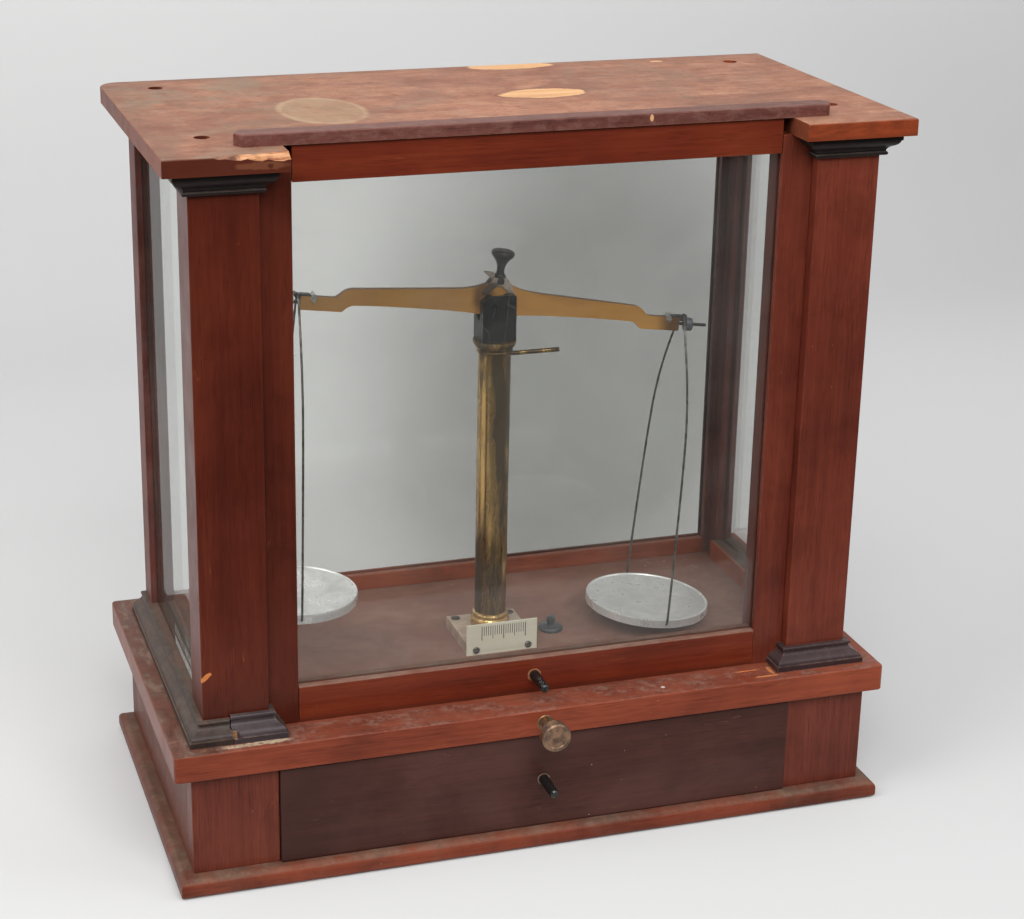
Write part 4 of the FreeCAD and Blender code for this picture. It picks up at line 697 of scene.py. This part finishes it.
def ivory():
    """Ivory-coloured scale plate: warm, faintly yellowed towards its edges, fine lines of grain."""
    t = Tree("ivory")
    n = t.noise(40, 4, 0.5, 0.2, shift=(1, 1, 1))
    l = t.noise(700, 2, 0.5, stretch=(0.05, 1, 1), shift=(1, 2, 3))
    col = t.ramp(t.m("ADD", t.m("MULTIPLY", n, 0.8), t.m("MULTIPLY", l, 0.2)), [(0.30, (0.80, 0.755, 0.585)), (0.70, (0.92, 0.895, 0.760))])
    e = t.step(t.edge(0.0007), 0.02, 0.2)
    col = t.mix(t.m("MULTIPLY", e, 0.45), col, (0.47, 0.40, 0.26))
    sp = t.m("MULTIPLY", t.step(t.voronoi(420, shift=(2, 1, 0)), 0.12, 0.05), t.step(t.noise(90, 2, 0.5, shift=(3, 1, 1)), 0.55, 0.62))
    col = t.mix(t.m("MULTIPLY", sp, 0.5), col, (0.25, 0.20, 0.14))
    t.principled(Base_Color=col, Roughness=t.lin(n, 0.3, 0.7, 0.36, 0.48), Normal=t.bump(l, 0.05, 0.00004), Subsurface_Weight=0.05)
    return t.mat


def flat_ink():
    """Printed graduations: black, slightly broken where they have rubbed."""
    t = Tree("ink")
    n = t.noise(900, 3, 0.6, shift=(1, 4, 1))
    col = t.ramp(n, [(0.40, (0.010, 0.010, 0.010)), (0.80, (0.08, 0.075, 0.06))])
    t.principled(Base_Color=col, Roughness=t.lin(n, 0.3, 0.7, 0.4, 0.6))
    return t.mat


def glass(name="clear_glass", grime_and_painted_shade=0.0):
    """Old window glass: passes light straight through with a slight grey-green loss, mirrors a
    little by angle, and carries a thin uneven film of dust. The back pane is greyed, most in
    the middle and least towards its upper left corner: partly the loss of old dirty glass, partly
    painted shade for the dark room mirrored in it."""
    t = Tree(name)
    tr = t.node("BsdfTransparent")
    tr.inputs[0].default_value = (0.982, 0.984, 0.978, 1)
    if grime_and_painted_shade:
        # painted shade: the pane is greyed most in the middle, partly also the loss of old dirty glass
        x, y, z = t.xyz()
        sm = t.noise(7, 5, 0.6, 0.5, shift=(3, 1, 1))
        gx = t.m("DIVIDE", t.m("SUBTRACT", x, 0.095), 0.110)
        gz = t.m("DIVIDE", t.m("SUBTRACT", z, 0.225), 0.140)
        d = t.m("SQRT", t.m("ADD", t.m("MULTIPLY", gx, gx), t.m("MULTIPLY", gz, gz)))
        g = t.m("MULTIPLY", t.step(d, 1.75, 0.65), t.lin(sm, 0.3, 0.7, 0.85, 1.08))
        t.put(tr.inputs[0], t.mix(t.m("MULTIPLY", g, grime_and_painted_shade, clamp=True), (0.955, 0.960, 0.948), (0.66, 0.665, 0.650)))
    gl = t.node("BsdfGlossy")
    gl.inputs["Color"].default_value = (0.95, 0.97, 0.96, 1)
    gl.inputs["Roughness"].default_value = 0.015
    fr = t.node("Fresnel")
    fr.inputs["IOR"].default_value = 1.45
    w = t.bump(t.noise(5, 1, 0.5, shift=(1, 1, 1)), 0.05, 0.0015)
    t.put(gl.inputs["Normal"], w)
    mx = t.node("MixShader")
    t.put(mx.inputs[0], t.m("MULTIPLY", fr.outputs[0], 0.5))
    t.t.links.new(tr.outputs[0], mx.inputs[1])
    t.t.links.new(gl.outputs[0], mx.inputs[2])
    df = t.node("BsdfDiffuse")
    df.inputs["Color"].default_value = (0.60, 0.60, 0.57, 1)
    film = t.noise(14, 5, 0.6, 0.4, shift=(2, 5, 1))
    specks = t.m("MULTIPLY", t.step(t.voronoi(150, shift=(1, 2, 3)), 0.060, 0.035), t.step(t.noise(9, 2, 0.5, shift=(4, 4, 1)), 0.52, 0.60))
    f = t.m("ADD", t.lin(film, 0.35, 0.70, 0.008, 0.035), t.m("MULTIPLY", specks, 0.35))
    mx2 = t.node("MixShader")
    t.put(mx2.inputs[0], f)
    t.t.links.new(mx.outputs[0], mx2.inputs[1])
    t.t.links.new(df.outputs[0], mx2.inputs[2])
    t.t.links.new(mx2.outputs[0], t.out.inputs["Surface"])
    return t.mat


build_materials()


# ------------------------------------------------------------- mesh utilities
def mesh_object(name, bm, mat, body, smooth=None):
    me = bpy.data.meshes.new(name)
    bmesh.ops.recalc_face_normals(bm, faces=bm.faces)
    bm.to_mesh(me)
    bm.free()
    ob = bpy.data.objects.new(name, me)
    scene.collection.objects.link(ob)
    for m in (mat if isinstance(mat, (list, tuple)) else [mat]):
        me.materials.append(MAT[m])
    if smooth is not None:
        me.shade_smooth()
        me.set_sharp_from_angle(angle=math.radians(smooth))
    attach(ob, body)
    return ob


def paint(ob, mat):
    ob.data.materials.clear()
    ob.data.materials.append(MAT[mat])


def soften(ob, width=0.0005, segments=2, angle=32):
    """Rounds a CAD solid's arrises."""
    w = ob.modifiers.new("weld", "WELD")
    w.merge_threshold = 0.000004
    b = ob.modifiers.new("bevel", "BEVEL")
    b.width = width
    b.segments = segments
    b.limit_method = "ANGLE"
    b.angle_limit = math.radians(angle)
    b.use_clamp_overlap = True
    b.harden_normals = False
    n = ob.modifiers.new("normals", "WEIGHTED_NORMAL")
    n.keep_sharp = True
    n.weight = 80


CAD_PAINT = {
    "base_board": ("mahogany_base", 0), "plinth_corner_blocks": ("mahogany_plinth", 0.7), "plinth_sides": ("plinth_side", 0.5),
    "plinth_back": ("plinth_rear", 0.5), "drawer_guides": ("secondary_wood", 0.4), "deck_board": ("mahogany_deck", 0),
    "column_left": ("column_l", 0.6), "column_right": ("column_r", 0.6), "stile_left": ("stile_l", 0.5),
    "stile_right": ("stile_r", 0.5), "base_moulding_left": ("moulding_left", 0), "base_moulding_broken_piece": ("moulding_repair", 0),
    "base_moulding_right": ("moulding_wood", 0), "capital_left": ("ebonised_wood", 0), "capital_right": ("ebonised_wood", 0),
    "rear_posts": ("mahogany_post", 0.5), "sill_rails": ("sill_wood", 0.5), "head_rails": ("head_wood", 0.5),
    "side_panes": ("clear_glass", 0), "back_pane": ("old_glass", 0), "top_board": ("mahogany_top", 0),
    "top_board_screws": ("steel_screw", 0), "pillar_base_plate": ("plate_metal", 0), "pillar_plate_screws": ("steel_screw", 0),
    "pillar_foot_ring": ("polished_brass", 0), "pillar_tube": ("tarnished_brass", 0), "pillar_collar": ("tarnished_brass", 0),
    "scale_plate": ("ivory", 0.15), "scale_plate_screws": ("steel_screw", 0), "plumb_line_arm": ("tarnished_brass", 0),
    "plumb_index": ("grey_metal", 0), "arrest_bushing": ("brown_brass", 0), "arrest_shaft": ("brown_brass", 0),
    "arrest_knob": ("aged_brass_knob", 0), "arrest_cam": ("steel", 0), "lift_rod": ("steel", 0), "beam_block": ("black_block", 0.35),
    "agate_plates": ("agate", 0.1), "beam": ("beam_brass", 0.25), "centre_knife": ("bright_steel", 0), "terminal_knives": ("bright_steel", 0),
    "beam_saddle": ("saddle_metal", 0.2), "end_hooks": ("dark_steel", 0.15), "balance_screw_rods": ("dark_steel", 0),
    "gravity_knob": ("black_knob", 0), "balance_nut_left": ("blue_steel", 0.3), "balance_nut_right": ("blue_steel", 0.3),
    "bow_left": ("wire_steel", 0), "bow_right": ("wire_steel", 0), "pan_left": ("aluminium_pan", 0), "pan_right": ("aluminium_pan", 0),
    "sash_top_rail": ("mahogany_sash", 0.5), "sash_cap_strip": ("cap_wood", 0), "sash_bottom_rail": ("mahogany_sash", 0),
    "sash_glass": ("clear_glass", 0), "sash_peg": ("ebony_peg", 0), "drawer_front": ("drawer_wood", 0), "drawer_box_sides": ("secondary_wood", 0.4),
    "drawer_bottom": ("secondary_wood", 0), "drawer_peg": ("ebony_peg", 0),
}
for node, (mat, w) in CAD_PAINT.items():
    paint(N[node], mat)
    if w:
        soften(N[node], w * MM)

# --------------------------------------------------------------- scale ticks
bm = bmesh.new()
TICK_X0, TICK_DX, TICK_TOP = -12.9, 1.39, 106.0
for i in range(21):
    x = TICK_X0 + i * TICK_DX
    ln = 9.2 if i in (0, 10, 20) else (8.2 if i in (5, 15) else 6.2)
    w = 0.25 if ln > 9 else 0.19
    lo = Vector(((x - w), -26.24, TICK_TOP - ln)) * MM
    hi = Vector(((x + w), -26.18, TICK_TOP)) * MM
    bmesh.ops.create_cube(bm, size=1.0, matrix=Matrix.Translation((lo + hi) / 2) @ Matrix.Diagonal((hi.x - lo.x, hi.y - lo.y, hi.z - lo.z, 1)))
mesh_object("scale_graduations", bm, "ink", "case")

# ---------------------------------------------- collar in the top of the saddle
def collar():
    """A small fluted collar that the knob's screw passes through, at the beam's rest tilt."""
    bm = bmesh.new()
    prof = [(2.0, 13.5), (3.3, 13.5), (3.95, 13.9), (4.05, 14.5), (4.05, 16.6), (3.9, 17.1), (3.45, 17.43), (2.0, 17.43)]
    seg = 96
    sin_t, cos_t = 0.13226, 0.99121
    rings = []
    for r, z in prof:
        ring = []
        for i in range(seg):
            a = 2 * math.pi * i / seg
            rr = r - (0.16 * (0.5 + 0.5 * math.cos(24 * a)) if r > 3.8 else 0.0)
            x, y = rr * math.cos(a), rr * math.sin(a)
            ring.append(bm.verts.new(((x * cos_t + z * sin_t) * MM, (y - 2.0) * MM, (301.0 - x * sin_t + z * cos_t) * MM)))
        rings.append(ring)
    for p, q in zip(rings, rings[1:] + rings[:1]):
        for i in range(seg):
            j = (i + 1) % seg
            bm.faces.new((p[i], p[j], q[j], q[i]))
    return mesh_object("saddle_collar", bm, "black_knob", "beam", 40)


collar()

# ------------------------------------------------------------- stage and light
def backdrop():
    """Pale sweep: a table top that ends in front of the object and rises behind it."""
    bm = bmesh.new()
    prof = [(-0.42, -0.02), (-0.415, -0.0006), (0.9, -0.0006)]
    for i in range(1, 17):
        a = math.pi / 2 * i / 16
        prof.append((0.9 + 0.7 * math.sin(a), -0.0006 + 0.7 * (1 - math.cos(a))))
    prof.append((1.6, 2.6))
    rows = []
    for x in (-2.6, -1.3, 0.0, 1.3, 2.6):
        rows.append([bm.verts.new((x, y, z)) for y, z in prof])
    for a, b in zip(rows, rows[1:]):
        for i in range(len(prof) - 1):
            bm.faces.new((a[i], b[i], b[i + 1], a[i + 1]))
    me = bpy.data.meshes.new("backdrop")
    bm.to_mesh(me)
    bm.free()
    ob = bpy.data.objects.new("backdrop", me)
    scene.collection.objects.link(ob)
    me.shade_smooth()
    t = Tree("backdrop")
    n = t.noise(1.2, 2, 0.5)
    # painted light: the sweep is coloured lighter where it rises behind the object than on the table top
    paper = t.ramp(n, [(0.3, (0.525, 0.525, 0.530)), (0.7, (0.555, 0.555, 0.558))])
    rise_painted_lighter = t.ramp(n, [(0.3, (0.70, 0.70, 0.703)), (0.7, (0.76, 0.76, 0.760))])
    t.principled(Base_Color=t.mix(t.step(t.xyz()[2], 0.02, 0.55), paper, rise_painted_lighter), Roughness=0.6, Specular_IOR_Level=0.2)
    me.materials.append(t.mat)
    return ob


backdrop()


def area(name, loc, target, size, power, color=(1, 1, 1)):
    l = bpy.data.lights.new(name, "AREA")
    l.shape = "RECTANGLE"
    l.size, l.size_y = size
    l.energy = power
    l.color = color
    o = bpy.data.objects.new(name, l)
    scene.collection.objects.link(o)
    o.location = loc
    d = Vector(target) - Vector(loc)
    o.rotation_euler = d.to_track_quat("-Z", "Y").to_euler()
    return o


area("key", (-1.25, -0.35, 1.35), (0, 0, 0.2), (1.2, 1.2), 19, (1.0, 0.99, 0.97))
area("front", (-0.15, -1.70, 1.75), (0, 0, 0.22), (1.9, 1.1), 40, (1.0, 0.995, 0.985))
area("back", (-0.1, 1.0, 2.1), (-0.1, 1.6, 0.5), (2.6, 0.8), 10)
area("fill", (1.4, -0.7, 1.1), (0, 0, 0.2), (1.0, 1.0), 6, (0.97, 0.985, 1.0))

w = bpy.data.worlds.new("studio")
scene.world = w
w.use_nodes = True
nt = w.node_tree
bg = nt.nodes["Background"]
tc = nt.nodes.new("ShaderNodeTexCoord")
sp = nt.nodes.new("ShaderNodeSeparateXYZ")
nt.links.new(tc.outputs["Generated"], sp.inputs[0])
mr = nt.nodes.new("ShaderNodeMapRange")
mr.interpolation_type = "SMOOTHSTEP"
mr.inputs["From Min"].default_value = -0.75
mr.inputs["From Max"].default_value = 0.15
mr.inputs["To Min"].default_value = 0.13
mr.inputs["To Max"].default_value = 0.62
nt.links.new(sp.outputs[1], mr.inputs["Value"])
mz = nt.nodes.new("ShaderNodeMapRange")
mz.inputs["From Min"].default_value = 0.1
mz.inputs["From Max"].default_value = 0.8
mz.inputs["To Min"].default_value = 0.0
mz.inputs["To Max"].default_value = 0.60
nt.links.new(sp.outputs[2], mz.inputs["Value"])
mx = nt.nodes.new("ShaderNodeMath")
mx.operation = "MAXIMUM"
nt.links.new(mr.outputs[0], mx.inputs[0])
nt.links.new(mz.outputs[0], mx.inputs[1])
nt.links.new(mx.outputs[0], bg.inputs["Strength"])
bg.inputs["Color"].default_value = (1.0, 1.0, 1.0, 1)

scene.view_settings.view_transform = "Standard"
scene.view_settings.look = "None"
scene.view_settings.exposure = 0.0

# ---------------------------------------------------------------------- camera
cam_data = bpy.data.cameras.new("camera")
cam = bpy.data.objects.new("camera", cam_data)
scene.collection.objects.link(cam)
right = Vector((0.95587, -0.29358, 0.01020)).normalized()
view = Vector((0.28009, 0.90037, -0.33299)).normalized()
up = right.cross(view).normalized()
right = view.cross(up).normalized()
mtx = Matrix.Identity(4)
for i in range(3):
    mtx[i][0], mtx[i][1], mtx[i][2] = right[i], up[i], -view[i]
mtx.translation = Vector((-0.39527, -1.18761, 0.66783))
cam.matrix_world = mtx
cam_data.sensor_width = 36.0
cam_data.lens = 77.65
cam_data.shift_x = 0.0594
cam_data.shift_y = -0.0343
cam_data.clip_start = 0.05
cam_data.clip_end = 20
scene.camera = cam

bpy.context.view_layer.update()
